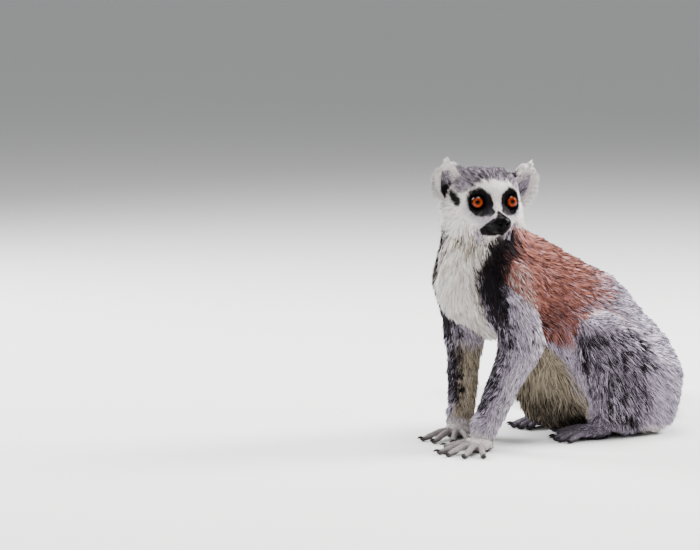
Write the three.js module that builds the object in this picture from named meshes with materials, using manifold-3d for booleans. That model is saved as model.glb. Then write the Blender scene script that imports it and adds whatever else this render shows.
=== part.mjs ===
// A ring-tailed lemur, life size, sitting on its haunches with both hands on the ground, its head
// turned to its left and its ringed tail lying in a loop out behind its right side.
// Millimetres, +Z up. The animal faces -Y, its left is +X, and the origin is the flat under its seat.
// The outer form is one distance field of smoothly joined lumps, out to the tips of the coat. It is
// turned into polygons, parted into the animal's named parts by thin cuts, and trimmed at the ground.
import * as THREE from "three";
import { mergeVertices } from "three/addons/utils/BufferGeometryUtils.js";
import Module from "manifold-3d";

const wasm = await Module();
wasm.setup();

// ---------------------------------------------------------------- driving dimensions
const GAP = 0.4; // width of the cut between two parts
const TINY_EDGE = 0.05; // edges shorter than about this are closed up
const TRUNK_CELL = 23.5; // facet sizes
const LIMB_CELL = 17;
const HEAD_CELL = 8.4;
const MUZZLE_CELL = 5;
const GROUND_DIP = 1.5; // how far soles, seat and tail reach below the ground before the trim
const SPINE_TILT = 41; // degrees that the trunk rises forwards
// Widths of the smooth joins
const BLEND = { trunk: 30, limbs: 13, head: 16, skull: 12, muzzle: 7, face: 10, orbits: 8 };

// Round plugs that take the limbs off the trunk
const PLUG = { wrist: 30, forearm: 30, upperArm: 31, shank: 38, thigh: 47, muzzle: 40, tail: 60, trunk: 260 };
const LIMB_REACH = 150; // longer than any limb
const BODY_REACH = 400; // longer than the body

// Joints of the left limbs and the right ones
const LEFT = {
  side: 1,
  shoulder: [42, -166, 172],
  elbow: [60, -154, 112],
  wrist: [50, -190, 26],
  hip: [36, 12, 56],
  knee: [60, -64, 110],
  ankle: [52, -30, 30],
  handHeading: 27,
  footHeading: -4,
};
const RIGHT = {
  side: -1,
  shoulder: [-42, -166, 170],
  elbow: [-52, -152, 112],
  wrist: [-41, -164, 26],
  hip: [-36, 12, 56],
  knee: [-60, -62, 108],
  ankle: [-50, -20, 30],
  handHeading: 42,
  footHeading: 4,
};

// Radii over the coat
const SHOULDER_R = 30;
const ELBOW_R = 22;
const FOREARM_R = 20;
const WRIST_R = 16;
const THIGH_R = 46;
const KNEE_R = 22;
const CALF_R = 25;
const ANKLE_R = 22;
const HAUNCH_R = 26; // of the folded leg's mass behind the ankle

const NECK_CUT = 214; // height of the cut between neck and head
const HEAD_CENTRE = [9, -167.5, 255.5]; // a little above the eyes
const HEAD_YAW = 74.5; // degrees, to the animal's left
const HEAD_PITCH = 3; // degrees, nose down
const MUZZLE_START = -43; // where the bare muzzle begins, in the head's frame
const EYE_R = 8.2;
const EYE_PLACE = [16.8, -30.5, 0.4]; // in the head's frame, x outwards
const EYE_OUTWARDS = 22; // degrees that an eye looks outwards
const EAR = { root: [31, 3, -5], length: 50, width: 33, thickness: 5, cup: 8, turn: 24, back: 6 };
const EAR_LEAN = { left: 28, right: 13 }; // degrees outwards

const TAIL_START = 0.06; // share of the tail's route that the rump covers
const TAIL = { lengths: 6, baseR: 22, middleR: 27.5, tipR: 18, sides: 10, ringsEach: 3 };
// Middle line of the tail from the rump to the tip
const TAIL_ROUTE = [
  [-2, 56, 40],
  [-28, 84, 30],
  [-72, 112, 26],
  [-124, 140, 26],
  [-182, 164, 26],
  [-240, 170, 26],
  [-281, 144, 26],
  [-290, 98, 26],
  [-262, 58, 26],
  [-214, 38, 23],
  [-164, 34, 17],
];

const PALM_AHEAD = 15; // of the palm's centre before the wrist
const SOLE_AHEAD = 26; // of the sole's centre before the ankle
const HAND = {
  palm: [13.5, 18, 9],
  digits: [
    { spread: -78, length: 30, radius: 4.3 },
    { spread: -30, length: 33, radius: 4.1 },
    { spread: -9, length: 38, radius: 4.2 },
    { spread: 13, length: 40, radius: 4.2 },
    { spread: 36, length: 33, radius: 4 },
  ],
};
const FOOT = {
  palm: [12, 22, 9],
  digits: [
    { spread: -52, length: 36, radius: 5.4 },
    { spread: -15, length: 26, radius: 4.1 },
    { spread: -4, length: 30, radius: 4.2 },
    { spread: 7, length: 31, radius: 4.2 },
    { spread: 20, length: 26, radius: 4 },
  ],
};

// ---------------------------------------------------------------- distance field
const vec = (a) => new THREE.Vector3(...a);
const degrees = THREE.MathUtils.degToRad;
const { lerp, clamp, smoothstep } = THREE.MathUtils;
const X_AXIS = new THREE.Vector3(1, 0, 0);
const Y_AXIS = new THREE.Vector3(0, 1, 0);
const UP = new THREE.Vector3(0, 0, 1);

// A lump is a function that gives the signed distance from a point to its surface.
function ball(centre, [rx, ry, rz], tilt = 0) {
  const middle = vec(centre);
  const turn = new THREE.Quaternion().setFromAxisAngle(X_AXIS, degrees(tilt));
  const q = new THREE.Vector3();
  return (p) => {
    q.copy(p).sub(middle).applyQuaternion(turn);
    const reach = Math.hypot(q.x / rx, q.y / ry, q.z / rz);
    const slope = Math.hypot(q.x / rx ** 2, q.y / ry ** 2, q.z / rz ** 2);
    return slope < 1e-9 ? -Math.min(rx, ry, rz) : (reach * (reach - 1)) / slope;
  };
}

function limb(from, to, fromRadius, toRadius) {
  const start = vec(from);
  const span = vec(to).sub(start);
  const q = new THREE.Vector3();
  return (p) => {
    q.copy(p).sub(start);
    const t = clamp(q.dot(span) / span.lengthSq(), 0, 1);
    return q.addScaledVector(span, -t).length() - lerp(fromRadius, toRadius, t);
  };
}

function blend(a, b, width) {
  const overlap = Math.max(width - Math.abs(a - b), 0) / width;
  return Math.min(a, b) - (overlap * overlap * width) / 4;
}

const joined = (lumps, width) => (p) => lumps.reduce((d, lump) => blend(d, lump(p), width), 1e3);
const hollowed = (form, lumps, width) => (p) =>
  lumps.reduce((d, lump) => -blend(-d, lump(p), width), form(p));
const bothSides = (make) => [make(1), make(-1)];

// The same form seen in a turned and moved frame
function placed(form, matrix) {
  const inverse = matrix.clone().invert();
  const q = new THREE.Vector3();
  return (p) => form(q.copy(p).applyMatrix4(inverse));
}

// ---------------------------------------------------------------- polygons
const CORNERS = [0, 1, 2, 3, 4, 5, 6, 7].map((n) => [n & 1, (n >> 1) & 1, n >> 2]);
const apart = (a, b) => a.reduce((sum, v, axis) => sum + Math.abs(v - b[axis]), 0);
const CELL_EDGES = CORNERS.flatMap((a, m) => CORNERS.map((b, n) => [m, n, apart(a, b)]))
  .filter(([m, n, steps]) => n > m && steps === 1)
  .map(([m, n]) => [CORNERS[m], CORNERS[n], m, n]);

// Closed surface of a form inside a box, with one point in each cell that the surface crosses
function polygonise(form, { low, high }, cell) {
  const origin = vec(low);
  const [nx, ny, nz] = vec(high).sub(origin).toArray().map((length) => Math.ceil(length / cell) + 1);
  const index = (i, j, k) => (k * ny + j) * nx + i;
  const everyCell = (visit) => {
    for (let k = 0; k < nz - 1; k++)
      for (let j = 0; j < ny - 1; j++)
        for (let i = 0; i < nx - 1; i++) visit(i, j, k);
  };
  // The border of the box counts as outside, so the surface closes there.
  const values = new Float64Array(nx * ny * nz).fill(cell);
  everyCell((i, j, k) => {
    const corner = new THREE.Vector3(i, j, k).multiplyScalar(cell).add(origin);
    if (Math.min(i, j, k) > 0) values[index(i, j, k)] = form(corner);
  });
  const vertexOf = new Int32Array(nx * ny * nz).fill(-1);
  const positions = [];
  everyCell((i, j, k) => {
    const d = CORNERS.map(([a, b, c]) => values[index(i + a, j + b, k + c)]);
    const crossed = CELL_EDGES.filter(([, , m, n]) => d[m] < 0 !== d[n] < 0);
    if (crossed.length === 0) return;
    const middle = new THREE.Vector3();
    crossed.forEach(([a, b, m, n]) => middle.add(vec(a).lerp(vec(b), d[m] / (d[m] - d[n]))));
    middle.divideScalar(crossed.length).add(new THREE.Vector3(i, j, k)).multiplyScalar(cell).add(origin);
    for (let pass = 0; pass < 3; pass++) settle(middle, form, cell);
    vertexOf[index(i, j, k)] = positions.length / 3;
    positions.push(...middle.toArray());
  });
  const triangles = [];
  const quad = (a, b, c, d, flip) => triangles.push(...(flip ? [a, d, c, a, c, b] : [a, b, c, a, c, d]));
  everyCell((i, j, k) => {
    const inside = values[index(i, j, k)] < 0;
    const v = (a, b, c) => vertexOf[index(i - a, j - b, k - c)];
    const crosses = (a, b, c) => inside !== values[index(i + a, j + b, k + c)] < 0;
    if (crosses(1, 0, 0)) quad(v(0, 1, 1), v(0, 0, 1), v(0, 0, 0), v(0, 1, 0), !inside);
    if (crosses(0, 1, 0)) quad(v(1, 0, 1), v(1, 0, 0), v(0, 0, 0), v(0, 0, 1), !inside);
    if (crosses(0, 0, 1)) quad(v(1, 1, 0), v(0, 1, 0), v(0, 0, 0), v(1, 0, 0), !inside);
  });
  return solidOf(meshGeometry(positions, triangles));
}

// Moves a point onto the surface along the field's slope, by at most half a cell
function settle(point, form, cell) {
  const step = cell / 20;
  const here = form(point);
  const slope = new THREE.Vector3();
  ["x", "y", "z"].forEach((axis) => {
    const probe = point.clone();
    probe[axis] += step;
    slope[axis] = (form(probe) - here) / step;
  });
  point.addScaledVector(slope, clamp(-here / Math.max(slope.lengthSq(), 0.2), -cell / 2, cell / 2));
}

// ---------------------------------------------------------------- solids
function meshGeometry(positions, triangles) {
  const geometry = new THREE.BufferGeometry();
  geometry.setAttribute("position", new THREE.Float32BufferAttribute(positions, 3));
  geometry.setIndex(triangles);
  return geometry;
}

function solidOf(geometry) {
  const bare = geometry.clone();
  ["normal", "uv"].forEach((name) => bare.deleteAttribute(name));
  const merged = mergeVertices(bare, 1e-4);
  const vertProperties = merged.attributes.position.array;
  const triVerts = new Uint32Array(merged.index.array);
  return new wasm.Manifold(new wasm.Mesh({ numProp: 3, vertProperties, triVerts }));
}

// The solid's mesh, with the tiny edges that cutting leaves closed up
function geometryOf(solid) {
  const mesh = solid.getMesh();
  const merged = mergeVertices(meshGeometry(mesh.vertProperties, Array.from(mesh.triVerts)), TINY_EDGE);
  const corners = merged.index.array;
  const triangles = [];
  for (let i = 0; i < corners.length; i += 3) {
    const triangle = corners.slice(i, i + 3);
    if (new Set(triangle).size === 3) triangles.push(...triangle);
  }
  const geometry = meshGeometry(merged.attributes.position.array, triangles);
  geometry.computeVertexNormals();
  return geometry;
}

const union = (solids) => solids.reduce((a, b) => a.add(b));
const largest = (solid) => solid.decompose().sort((a, b) => b.volume() - a.volume())[0];

function boxBetween(low, high) {
  const size = vec(high).sub(vec(low));
  const geometry = new THREE.BoxGeometry(...size.toArray());
  geometry.translate(...vec(low).addScaledVector(size, 0.5).toArray());
  return solidOf(geometry);
}

const ground = boxBetween([-500, -500, -60], [500, 500, 0]);
const trimmed = (solid) => largest(solid.subtract(ground));

// A round plug from a point along a direction, which takes a part off a form
function plug(from, direction, radius, length) {
  const geometry = new THREE.CylinderGeometry(radius, radius, length, 8);
  geometry.applyQuaternion(new THREE.Quaternion().setFromUnitVectors(Y_AXIS, direction));
  geometry.translate(...from.clone().addScaledVector(direction, length / 2).toArray());
  return solidOf(geometry);
}

// What a form has inside a plug, and what is left of another outside it, with a gap between them
function parted(fine, rest, from, along, radius, length) {
  const direction = along.clone().normalize();
  const inner = plug(from.clone().addScaledVector(direction, GAP), direction, radius, length);
  const outer = plug(from, direction, radius + GAP, length + 2 * GAP);
  return [largest(fine.intersect(inner)), largest(rest.subtract(outer))];
}

// A closed round sleeve along a stretch of a curve, with its radius given along it. A domed end
// bulges by that share of the radius.
function sleeve(curve, radiusAt, { sides, rings, from = 0, to = 1, startDome = 0, endDome = 0 }) {
  const steps = 100;
  const { tangents, normals, binormals } = curve.computeFrenetFrames(steps, false);
  const positions = [];
  const triangles = [];
  const frameAt = (t) => Math.round(t * steps);
  const at = (n) => lerp(from, to, n / rings);
  for (let n = 0; n <= rings; n++) {
    const frame = frameAt(at(n));
    for (let s = 0; s < sides; s++) {
      const angle = (s / sides) * 2 * Math.PI;
      const spoke = normals[frame].clone().multiplyScalar(Math.cos(angle));
      spoke.addScaledVector(binormals[frame], Math.sin(angle)).multiplyScalar(radiusAt(at(n)));
      positions.push(...spoke.add(curve.getPointAt(at(n))).toArray());
    }
  }
  const cap = (t, dome) => {
    const reach = radiusAt(t) * dome;
    positions.push(...curve.getPointAt(t).addScaledVector(tangents[frameAt(t)], reach).toArray());
    return positions.length / 3 - 1;
  };
  const first = cap(from, -startDome);
  const last = cap(to, endDome);
  for (let s = 0; s < sides; s++) {
    const next = (s + 1) % sides;
    for (let n = 0; n < rings; n++) {
      const [a, b] = [n * sides + s, n * sides + next];
      triangles.push(a, b, b + sides, a, b + sides, a + sides);
    }
    triangles.push(first, next, s, last, rings * sides + s, rings * sides + next);
  }
  return solidOf(meshGeometry(positions, triangles));
}

// ---------------------------------------------------------------- head
const headFrame = new THREE.Matrix4().compose(
  vec(HEAD_CENTRE),
  new THREE.Quaternion().setFromEuler(new THREE.Euler(degrees(HEAD_PITCH), 0, degrees(HEAD_YAW), "ZYX")),
  new THREE.Vector3(1, 1, 1),
);
const inHead = (place) => vec(place).applyMatrix4(headFrame);
const headForwards = new THREE.Vector3(0, -1, 0).transformDirection(headFrame);

function headForm() {
  const skull = [
    ball([0, 4, 1], [32, 40, 31]),
    ...bothSides((side) => ball([side * 16, 3, 9], [18, 27, 23])),
    ball([0, -20, 6], [24, 20, 20]),
    ball([0, 10, -18], [31, 32, 26]),
    ...bothSides((side) => ball([side * 22.5, 3, -13], [16, 23, 19])),
    ...bothSides((side) => ball([side * 14, -26, -13], [14, 13, 11])),
  ];
  const muzzle = [
    limb([0, -28, -12], [0, -58, -17.5], 13.5, 7),
    limb([0, -20, -20], [0, -52, -24.5], 10.5, 6),
    ball([0, -61, -17], [6.6, 5.6, 6]),
    ...bothSides((side) => ball([side * 6.5, -49, -19.5], [8, 11, 6])),
  ];
  const [, eyeY, eyeZ] = EYE_PLACE;
  const orbits = bothSides((side) => ball([side * 24, eyeY - 16, eyeZ], [11, 11, 11]));
  const solid = joined([joined(skull, BLEND.skull), joined(muzzle, BLEND.muzzle)], BLEND.face);
  return hollowed(solid, orbits, BLEND.orbits);
}

function eyeBall(side, radius) {
  const [x, y, z] = EYE_PLACE;
  const geometry = new THREE.SphereGeometry(radius, 12, 8);
  geometry.rotateX(Math.PI / 2);
  geometry.rotateZ(side * degrees(EYE_OUTWARDS));
  geometry.translate(...inHead([side * x, y, z]).toArray());
  return solidOf(geometry);
}

// A cupped leaf: a front and a back sheet over one outline, joined round the rim
function ear(side, lean) {
  const rows = 6;
  const columns = 4;
  const sheetPoint = (u, v, face) => {
    const halfWidth = (EAR.width / 2) * Math.sin(Math.PI * (0.2 + 0.8 * v ** 1.25)) ** 0.6;
    const cup = EAR.cup * (1 - u * u) * Math.sin(Math.PI * (0.3 + 0.7 * v));
    const thickness = EAR.thickness * (1 - 0.45 * v) * (1 - 0.6 * u * u);
    return [side * u * halfWidth, cup + (face * thickness) / 2, v * EAR.length];
  };
  const positions = [];
  const triangles = [];
  const perSheet = (rows + 1) * (columns + 1);
  for (const face of [-1, 1])
    for (let r = 0; r <= rows; r++)
      for (let c = 0; c <= columns; c++)
        positions.push(...sheetPoint((2 * c) / columns - 1, 0.98 * (r / rows), face));
  const front = (r, c) => r * (columns + 1) + c;
  const back = (r, c) => perSheet + front(r, c);
  const quad = (...corners) => {
    const [a, b, c, d] = side > 0 ? corners : corners.reverse();
    triangles.push(a, b, c, a, c, d);
  };
  for (let r = 0; r < rows; r++) {
    for (let c = 0; c < columns; c++) {
      quad(front(r, c), front(r, c + 1), front(r + 1, c + 1), front(r + 1, c));
      quad(back(r, c), back(r + 1, c), back(r + 1, c + 1), back(r, c + 1));
    }
    quad(front(r, 0), front(r + 1, 0), back(r + 1, 0), back(r, 0));
    quad(front(r, columns), back(r, columns), back(r + 1, columns), front(r + 1, columns));
  }
  for (let c = 0; c < columns; c++) {
    quad(front(0, c), back(0, c), back(0, c + 1), front(0, c + 1));
    quad(front(rows, c), front(rows, c + 1), back(rows, c + 1), back(rows, c));
  }
  const geometry = meshGeometry(positions, triangles);
  geometry.rotateZ(side * degrees(EAR.turn));
  geometry.rotateX(degrees(-EAR.back));
  geometry.rotateY(side * degrees(lean));
  geometry.translate(side * EAR.root[0], EAR.root[1], EAR.root[2]);
  geometry.applyMatrix4(headFrame);
  return solidOf(geometry);
}

// ---------------------------------------------------------------- trunk and limbs
function bodyForm() {
  const trunk = [
    ball([0, 10, 38], [50, 44, 38 + GROUND_DIP]),
    ball([0, 20, 66], [54, 46, 55], SPINE_TILT),
    ball([0, -38, 112], [52, 78, 64], SPINE_TILT),
    ball([0, -108, 156], [48, 70, 56], SPINE_TILT),
    ball([0, -167, 171], [45, 46, 49], SPINE_TILT),
    ball([0, -58, 54], [37, 62, 47]),
    limb([0, -160, 184], [2, -172, 232], 41, 37),
  ];
  const arm = ({ shoulder, elbow, wrist }) => [
    limb(shoulder, elbow, SHOULDER_R, ELBOW_R),
    limb(elbow, wrist, FOREARM_R + 1.5, WRIST_R),
  ];
  const leg = ({ side, hip, knee, ankle }) => [
    limb(hip, knee, THIGH_R, KNEE_R),
    limb(knee, ankle, CALF_R, ANKLE_R),
    limb([hip[0] + 10 * side, hip[1] + 10, HAUNCH_R - 2 * GROUND_DIP], ankle, HAUNCH_R, ANKLE_R),
  ];
  const tailRoot = limb([0, 30, 52], TAIL_ROUTE[1], 30, TAIL.baseR + 2);
  const limbs = [LEFT, RIGHT].flatMap((joints) => [...arm(joints), ...leg(joints)]);
  return joined([joined(trunk, BLEND.trunk), ...limbs, tailRoot], BLEND.limbs);
}

// ---------------------------------------------------------------- tail
function tailRadius(t) {
  const swell = smoothstep(t, 0, 0.3);
  const taper = smoothstep(t, 0.8, 1);
  return lerp(lerp(TAIL.baseR, TAIL.middleR, swell), TAIL.tipR, taper);
}

// ---------------------------------------------------------------- hands and feet
const headingVector = (angle) => new THREE.Vector3(Math.sin(degrees(angle)), -Math.cos(degrees(angle)), 0);

// A digit arches from its knuckle along the ground and ends in a rounded pad.
function digit(knuckle, heading, length, radius) {
  const along = headingVector(heading);
  const step = (share, height) => knuckle.clone().addScaledVector(along, length * share).setZ(height);
  const rise = radius * 1.1;
  const rest = radius - GROUND_DIP;
  const curve = new THREE.CatmullRomCurve3([
    step(-0.3, knuckle.z),
    step(0.15, knuckle.z + 0.35 * rise),
    step(0.5, radius + 0.6 * rise),
    step(0.8, rest + 0.6),
    step(1, rest),
  ]);
  const radiusAt = (t) => radius * (1.1 - 0.22 * t + 0.12 * smoothstep(t, 0.8, 1));
  return sleeve(curve, radiusAt, { sides: 5, rings: 3, startDome: 0.6, endDome: 0.7 });
}

// A palm or sole with its digits fanned out from its front, the first on the inner side
function paw({ palm, digits }, centre, heading, side, wristFrom) {
  const [width, length, height] = palm;
  const pad = new THREE.SphereGeometry(1, 8, 5);
  pad.scale(width, length, height);
  pad.rotateZ(degrees(heading));
  pad.translate(centre.x, centre.y, height - GROUND_DIP);
  const across = headingVector(heading + 90 * side);
  const ahead = headingVector(heading);
  const fan = digits.map(({ spread, length: reach, radius }, n) => {
    const knuckle = centre.clone().setZ(height * 0.8);
    knuckle.addScaledVector(ahead, length * (n === 0 ? 0.05 : 0.72));
    knuckle.addScaledVector(across, width * (n === 0 ? -0.6 : (n - 2.5) * 0.42));
    return digit(knuckle, heading + side * spread, reach, radius);
  });
  const cuff = new THREE.LineCurve3(wristFrom, centre.clone().setZ(height * 0.9));
  const cuffRadius = (t) => lerp(WRIST_R * 0.92, height * 0.95, t);
  return union([solidOf(pad), sleeve(cuff, cuffRadius, { sides: 8, rings: 1, startDome: 0.1 }), ...fan]);
}

// ---------------------------------------------------------------- the animal
const MATERIALS = {
  white: { color: 0xe9e6e2, roughness: 0.9, metalness: 0 },
  grey: { color: 0x8f8b92, roughness: 0.9, metalness: 0 },
  brown: { color: 0x8a6658, roughness: 0.9, metalness: 0 },
  black: { color: 0x242226, roughness: 0.6, metalness: 0 },
  skin: { color: 0x6d6a74, roughness: 0.8, metalness: 0 },
  amber: { color: 0xd2610f, roughness: 0.1, metalness: 0 },
};
const lemur = new THREE.Group();

function add(name, solid, material) {
  const mesh = new THREE.Mesh(geometryOf(solid), new THREE.MeshStandardMaterial(MATERIALS[material]));
  mesh.name = name;
  lemur.add(mesh);
}

const wholeForm = joined([bodyForm(), placed(headForm(), headFrame)], BLEND.head);
const headBox = { low: [-80, -260, 190], high: [110, -80, 310] };
const bodyBox = { low: [-130, -270, -24], high: [130, 130, 290] };

// Head: parted from the neck by a level cut, with the muzzle parted from it in turn
const aboveNeck = boxBetween([-200, -400, NECK_CUT + GAP], [200, 100, 400]);
const neckAndUp = boxBetween([-200, -400, NECK_CUT], [200, 100, 400]);
const eyeRoom = union(bothSides((side) => eyeBall(side, EYE_R + GAP)));
const headWhole = polygonise(wholeForm, headBox, HEAD_CELL).intersect(aboveNeck).subtract(eyeRoom);
const muzzleFine = polygonise(wholeForm, headBox, MUZZLE_CELL).subtract(eyeRoom);
const muzzleFrom = inHead([0, MUZZLE_START, -20]);
const [muzzle, head] = parted(muzzleFine, headWhole, muzzleFrom, headForwards, PLUG.muzzle, LIMB_REACH);
const headRoom = polygonise((p) => wholeForm(p) - GAP, headBox, HEAD_CELL);
add("head", head, "white");
add("muzzle", muzzle, "black");
bothSides((side) => {
  const name = side > 0 ? "left" : "right";
  add(`eye_${name}`, eyeBall(side, EYE_R), "amber");
  add(`ear_${name}`, largest(ear(side, EAR_LEAN[name]).subtract(headRoom)), "white");
});

// Limbs, taken from the finer form and out of the coarser one
let limbs = trimmed(polygonise(wholeForm, bodyBox, LIMB_CELL).subtract(neckAndUp));
let trunk = trimmed(polygonise(wholeForm, bodyBox, TRUNK_CELL).subtract(neckAndUp));

// Clears what lies inside a plug from both forms, and returns what the finer one had there
function cleared(from, along, radius) {
  const [piece, rest] = parted(limbs, limbs, from, along, radius, LIMB_REACH);
  [, trunk] = parted(trunk, trunk, from, along, radius, LIMB_REACH);
  limbs = rest;
  return piece;
}

function addArm({ side, shoulder, elbow, wrist, handHeading }, name) {
  const upper = vec(elbow).sub(vec(shoulder)).normalize();
  const lower = vec(wrist).sub(vec(elbow)).normalize();
  const beyond = (joint, along, distance) => vec(joint).addScaledVector(along, distance);
  const palmCentre = beyond(wrist, headingVector(handHeading), PALM_AHEAD);
  const hand = paw(HAND, palmCentre, handHeading, side, beyond(wrist, lower, -3));
  const beyondWrist = plug(beyond(wrist, lower, GAP), lower, LIMB_REACH, LIMB_REACH);
  add(`hand_${name}`, trimmed(hand.intersect(beyondWrist)), "skin");
  cleared(vec(wrist), lower, PLUG.wrist);
  add(`forearm_${name}`, cleared(beyond(elbow, lower, 6), lower, PLUG.forearm), "grey");
  add(`upper_arm_${name}`, cleared(beyond(shoulder, upper, -8), upper, PLUG.upperArm), "grey");
}

// A foot comes out from under the folded leg through a low box.
function addLeg({ side, hip, knee, ankle, footHeading }, name) {
  const soleCentre = vec(ankle).addScaledVector(headingVector(footHeading), SOLE_AHEAD);
  const low = [soleCentre.x - 34, soleCentre.y - 90, -1];
  const high = [soleCentre.x + 34, ankle[1] - 8, 21];
  const foot = paw(FOOT, soleCentre, footHeading, side, vec(ankle).setZ(13));
  add(`foot_${name}`, trimmed(foot.intersect(boxBetween(low, high))), "skin");
  const room = boxBetween(low, vec(high).addScalar(GAP).toArray());
  [limbs, trunk] = [limbs, trunk].map((form) => largest(form.subtract(room)));
  const forwards = vec(knee).sub(vec(hip)).normalize();
  const shin = vec(ankle).sub(vec(knee)).normalize();
  const shankFrom = vec(knee).addScaledVector(shin, 14);
  add(`shank_${name}`, cleared(shankFrom, shin, PLUG.shank), "grey");
  const thighFrom = vec(hip).addScaledVector(forwards, -14);
  add(`thigh_${name}`, cleared(thighFrom, forwards, PLUG.thigh), "grey");
}

[LEFT, RIGHT].forEach((joints) => {
  const name = joints.side > 0 ? "left" : "right";
  addArm(joints, name);
  addLeg(joints, name);
});

// Trunk: neck, chest, belly and rump, by cuts across the spine
const spine = new THREE.Vector3(0, -Math.cos(degrees(SPINE_TILT)), Math.sin(degrees(SPINE_TILT)));
const tailCurve = new THREE.CatmullRomCurve3(TAIL_ROUTE.map(vec), false, "centripetal");
const tailDirection = tailCurve.getTangentAt(TAIL_START);
const tailFrom = tailCurve.getPointAt(TAIL_START);
[, trunk] = parted(trunk, trunk, tailFrom, tailDirection, PLUG.tail, LIMB_REACH);
const cuts = [
  { name: "neck", place: [0, -166, 196], along: UP, material: "white" },
  { name: "chest", place: [0, -96, 130], along: spine, material: "white" },
  { name: "belly", place: [0, -18, 90], along: spine, material: "brown" },
];
for (const { name, place, along, material } of cuts) {
  const [piece, rest] = parted(trunk, trunk, vec(place), along, PLUG.trunk, BODY_REACH);
  add(name, piece, material);
  trunk = rest;
}
add("rump", trunk, "grey");

// Tail: a few lengths along one curve
for (let n = 0; n < TAIL.lengths; n++) {
  const pitch = (1 - TAIL_START) / TAIL.lengths;
  const gap = GAP / tailCurve.getLength();
  const last = n === TAIL.lengths - 1;
  const stretch = {
    sides: TAIL.sides,
    rings: TAIL.ringsEach,
    from: TAIL_START + n * pitch + gap,
    to: TAIL_START + (n + 1) * pitch - (last ? 0 : gap),
    endDome: last ? 1 : 0,
  };
  add(`tail_${n + 1}`, trimmed(sleeve(tailCurve, tailRadius, stretch)), last ? "black" : "white");
}

export default lemur;
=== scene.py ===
# A ring-tailed lemur, life size, sitting with both hands on the ground. One skin lies inside the
# coat, which is solid mesh tufts that follow the lie of the hair. Numbers are millimetres unless a
# name says otherwise. The animal faces -Y and its left is +X.
import math

import bpy
import numpy as np
from mathutils import Matrix, Vector
from mathutils.kdtree import KDTree


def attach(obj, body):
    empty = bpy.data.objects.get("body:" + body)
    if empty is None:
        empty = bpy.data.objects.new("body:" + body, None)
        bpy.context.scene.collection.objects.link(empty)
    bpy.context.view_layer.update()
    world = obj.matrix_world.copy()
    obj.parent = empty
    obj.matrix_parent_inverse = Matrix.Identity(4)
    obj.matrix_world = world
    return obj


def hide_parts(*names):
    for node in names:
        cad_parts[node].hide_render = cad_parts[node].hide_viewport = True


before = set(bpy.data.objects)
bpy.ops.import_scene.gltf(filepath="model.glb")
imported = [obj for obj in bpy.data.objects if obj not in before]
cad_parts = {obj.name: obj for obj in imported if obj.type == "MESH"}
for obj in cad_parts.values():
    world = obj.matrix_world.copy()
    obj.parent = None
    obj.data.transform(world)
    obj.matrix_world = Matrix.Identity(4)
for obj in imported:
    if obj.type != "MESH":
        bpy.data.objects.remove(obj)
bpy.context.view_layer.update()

MM = 0.001
chance = np.random.default_rng(7)


# ---------------------------------------------------------------- numbers and routes
def unit(v):
    v = np.asarray(v, float)
    return v / np.maximum(np.linalg.norm(v, axis=-1, keepdims=True), 1e-9)


def smooth(low, high, value):
    """0 at low and 1 at high, with a smooth rise between them."""
    t = np.clip((np.asarray(value, float) - low) / (high - low), 0, 1)
    return t * t * (3 - 2 * t)


def mixed(a, b, share):
    return a + (b - a) * share


def dots(a, b):
    """The dot product of each row of a with that row of b, as a column."""
    return (a * b).sum(1, keepdims=True)


def within(ways, normals):
    """Ways with what leaves the surface taken off."""
    return ways - normals * dots(ways, normals)


def both_sides(points):
    """The right side's places, carried over to the left side."""
    return np.abs(points) * (1, 0, 0) + points * (0, 1, 1)


def mirrored(route):
    return [(-x, y, z) for x, y, z in route]


def waves(points, length, seed, count=7):
    """Smooth noise between about -1 and 1, with bumps of that length."""
    dice = np.random.default_rng(seed)
    turns = unit(dice.normal(size=(count, 3))) * (2 * math.pi / length)
    turns *= dice.uniform(0.6, 1.5, size=(count, 1))
    phases = dice.uniform(0, 2 * math.pi, size=count)
    return np.sin(points @ turns.T + phases).sum(1) / math.sqrt(count)


def from_line(points, start, end):
    """The way to each point from the nearest place on a straight line."""
    start = np.asarray(start, float)
    reach = np.asarray(end, float) - start
    t = np.clip(((points - start) @ reach) / (reach @ reach), 0, 1)
    return points - start - t[:, None] * reach


def nearest_line(points, route):
    """Distance to a chain of straight lines, and which one is nearest."""
    lines = zip(route[:-1], route[1:])
    distances = [np.linalg.norm(from_line(points, *ends), axis=1) for ends in lines]
    return np.min(distances, axis=0), np.argmin(distances, axis=0)


def line_distance(points, route):
    return nearest_line(points, route)[0]


def way_along(route, points):
    """The way along a route at its place nearest to each point."""
    return unit(np.diff(np.array(route, float), axis=0))[nearest_line(points, route)[1]]


# ---------------------------------------------------------------- objects and meshes
def put(name, data):
    """A new object in the scene."""
    obj = bpy.data.objects.new(name, data)
    bpy.context.scene.collection.objects.link(obj)
    return obj


def select_only(obj):
    bpy.ops.object.select_all(action="DESELECT")
    obj.select_set(True)
    bpy.context.view_layer.objects.active = obj


def added(primitive, **settings):
    """A new primitive, with nothing else selected."""
    bpy.ops.object.select_all(action="DESELECT")
    primitive(**settings)
    return bpy.context.object


def added_sphere(segments, rings, radius):
    settings = {"segments": segments, "ring_count": rings, "radius": radius * MM}
    return added(bpy.ops.mesh.primitive_uv_sphere_add, **settings)


def apply_modifier(obj, kind, **settings):
    select_only(obj)
    modifier = obj.modifiers.new(kind.lower(), kind)
    for name, value in settings.items():
        setattr(modifier, name, value)
    bpy.ops.object.modifier_apply(modifier=modifier.name)


def settle(obj):
    """Puts an object's place into its mesh."""
    select_only(obj)
    bpy.ops.object.transform_apply(location=True, rotation=True, scale=True)
    return obj


def joined(objects, name):
    select_only(objects[0])
    for obj in objects[1:]:
        obj.select_set(True)
    bpy.ops.object.join()
    objects[0].name = name
    return objects[0]


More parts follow.
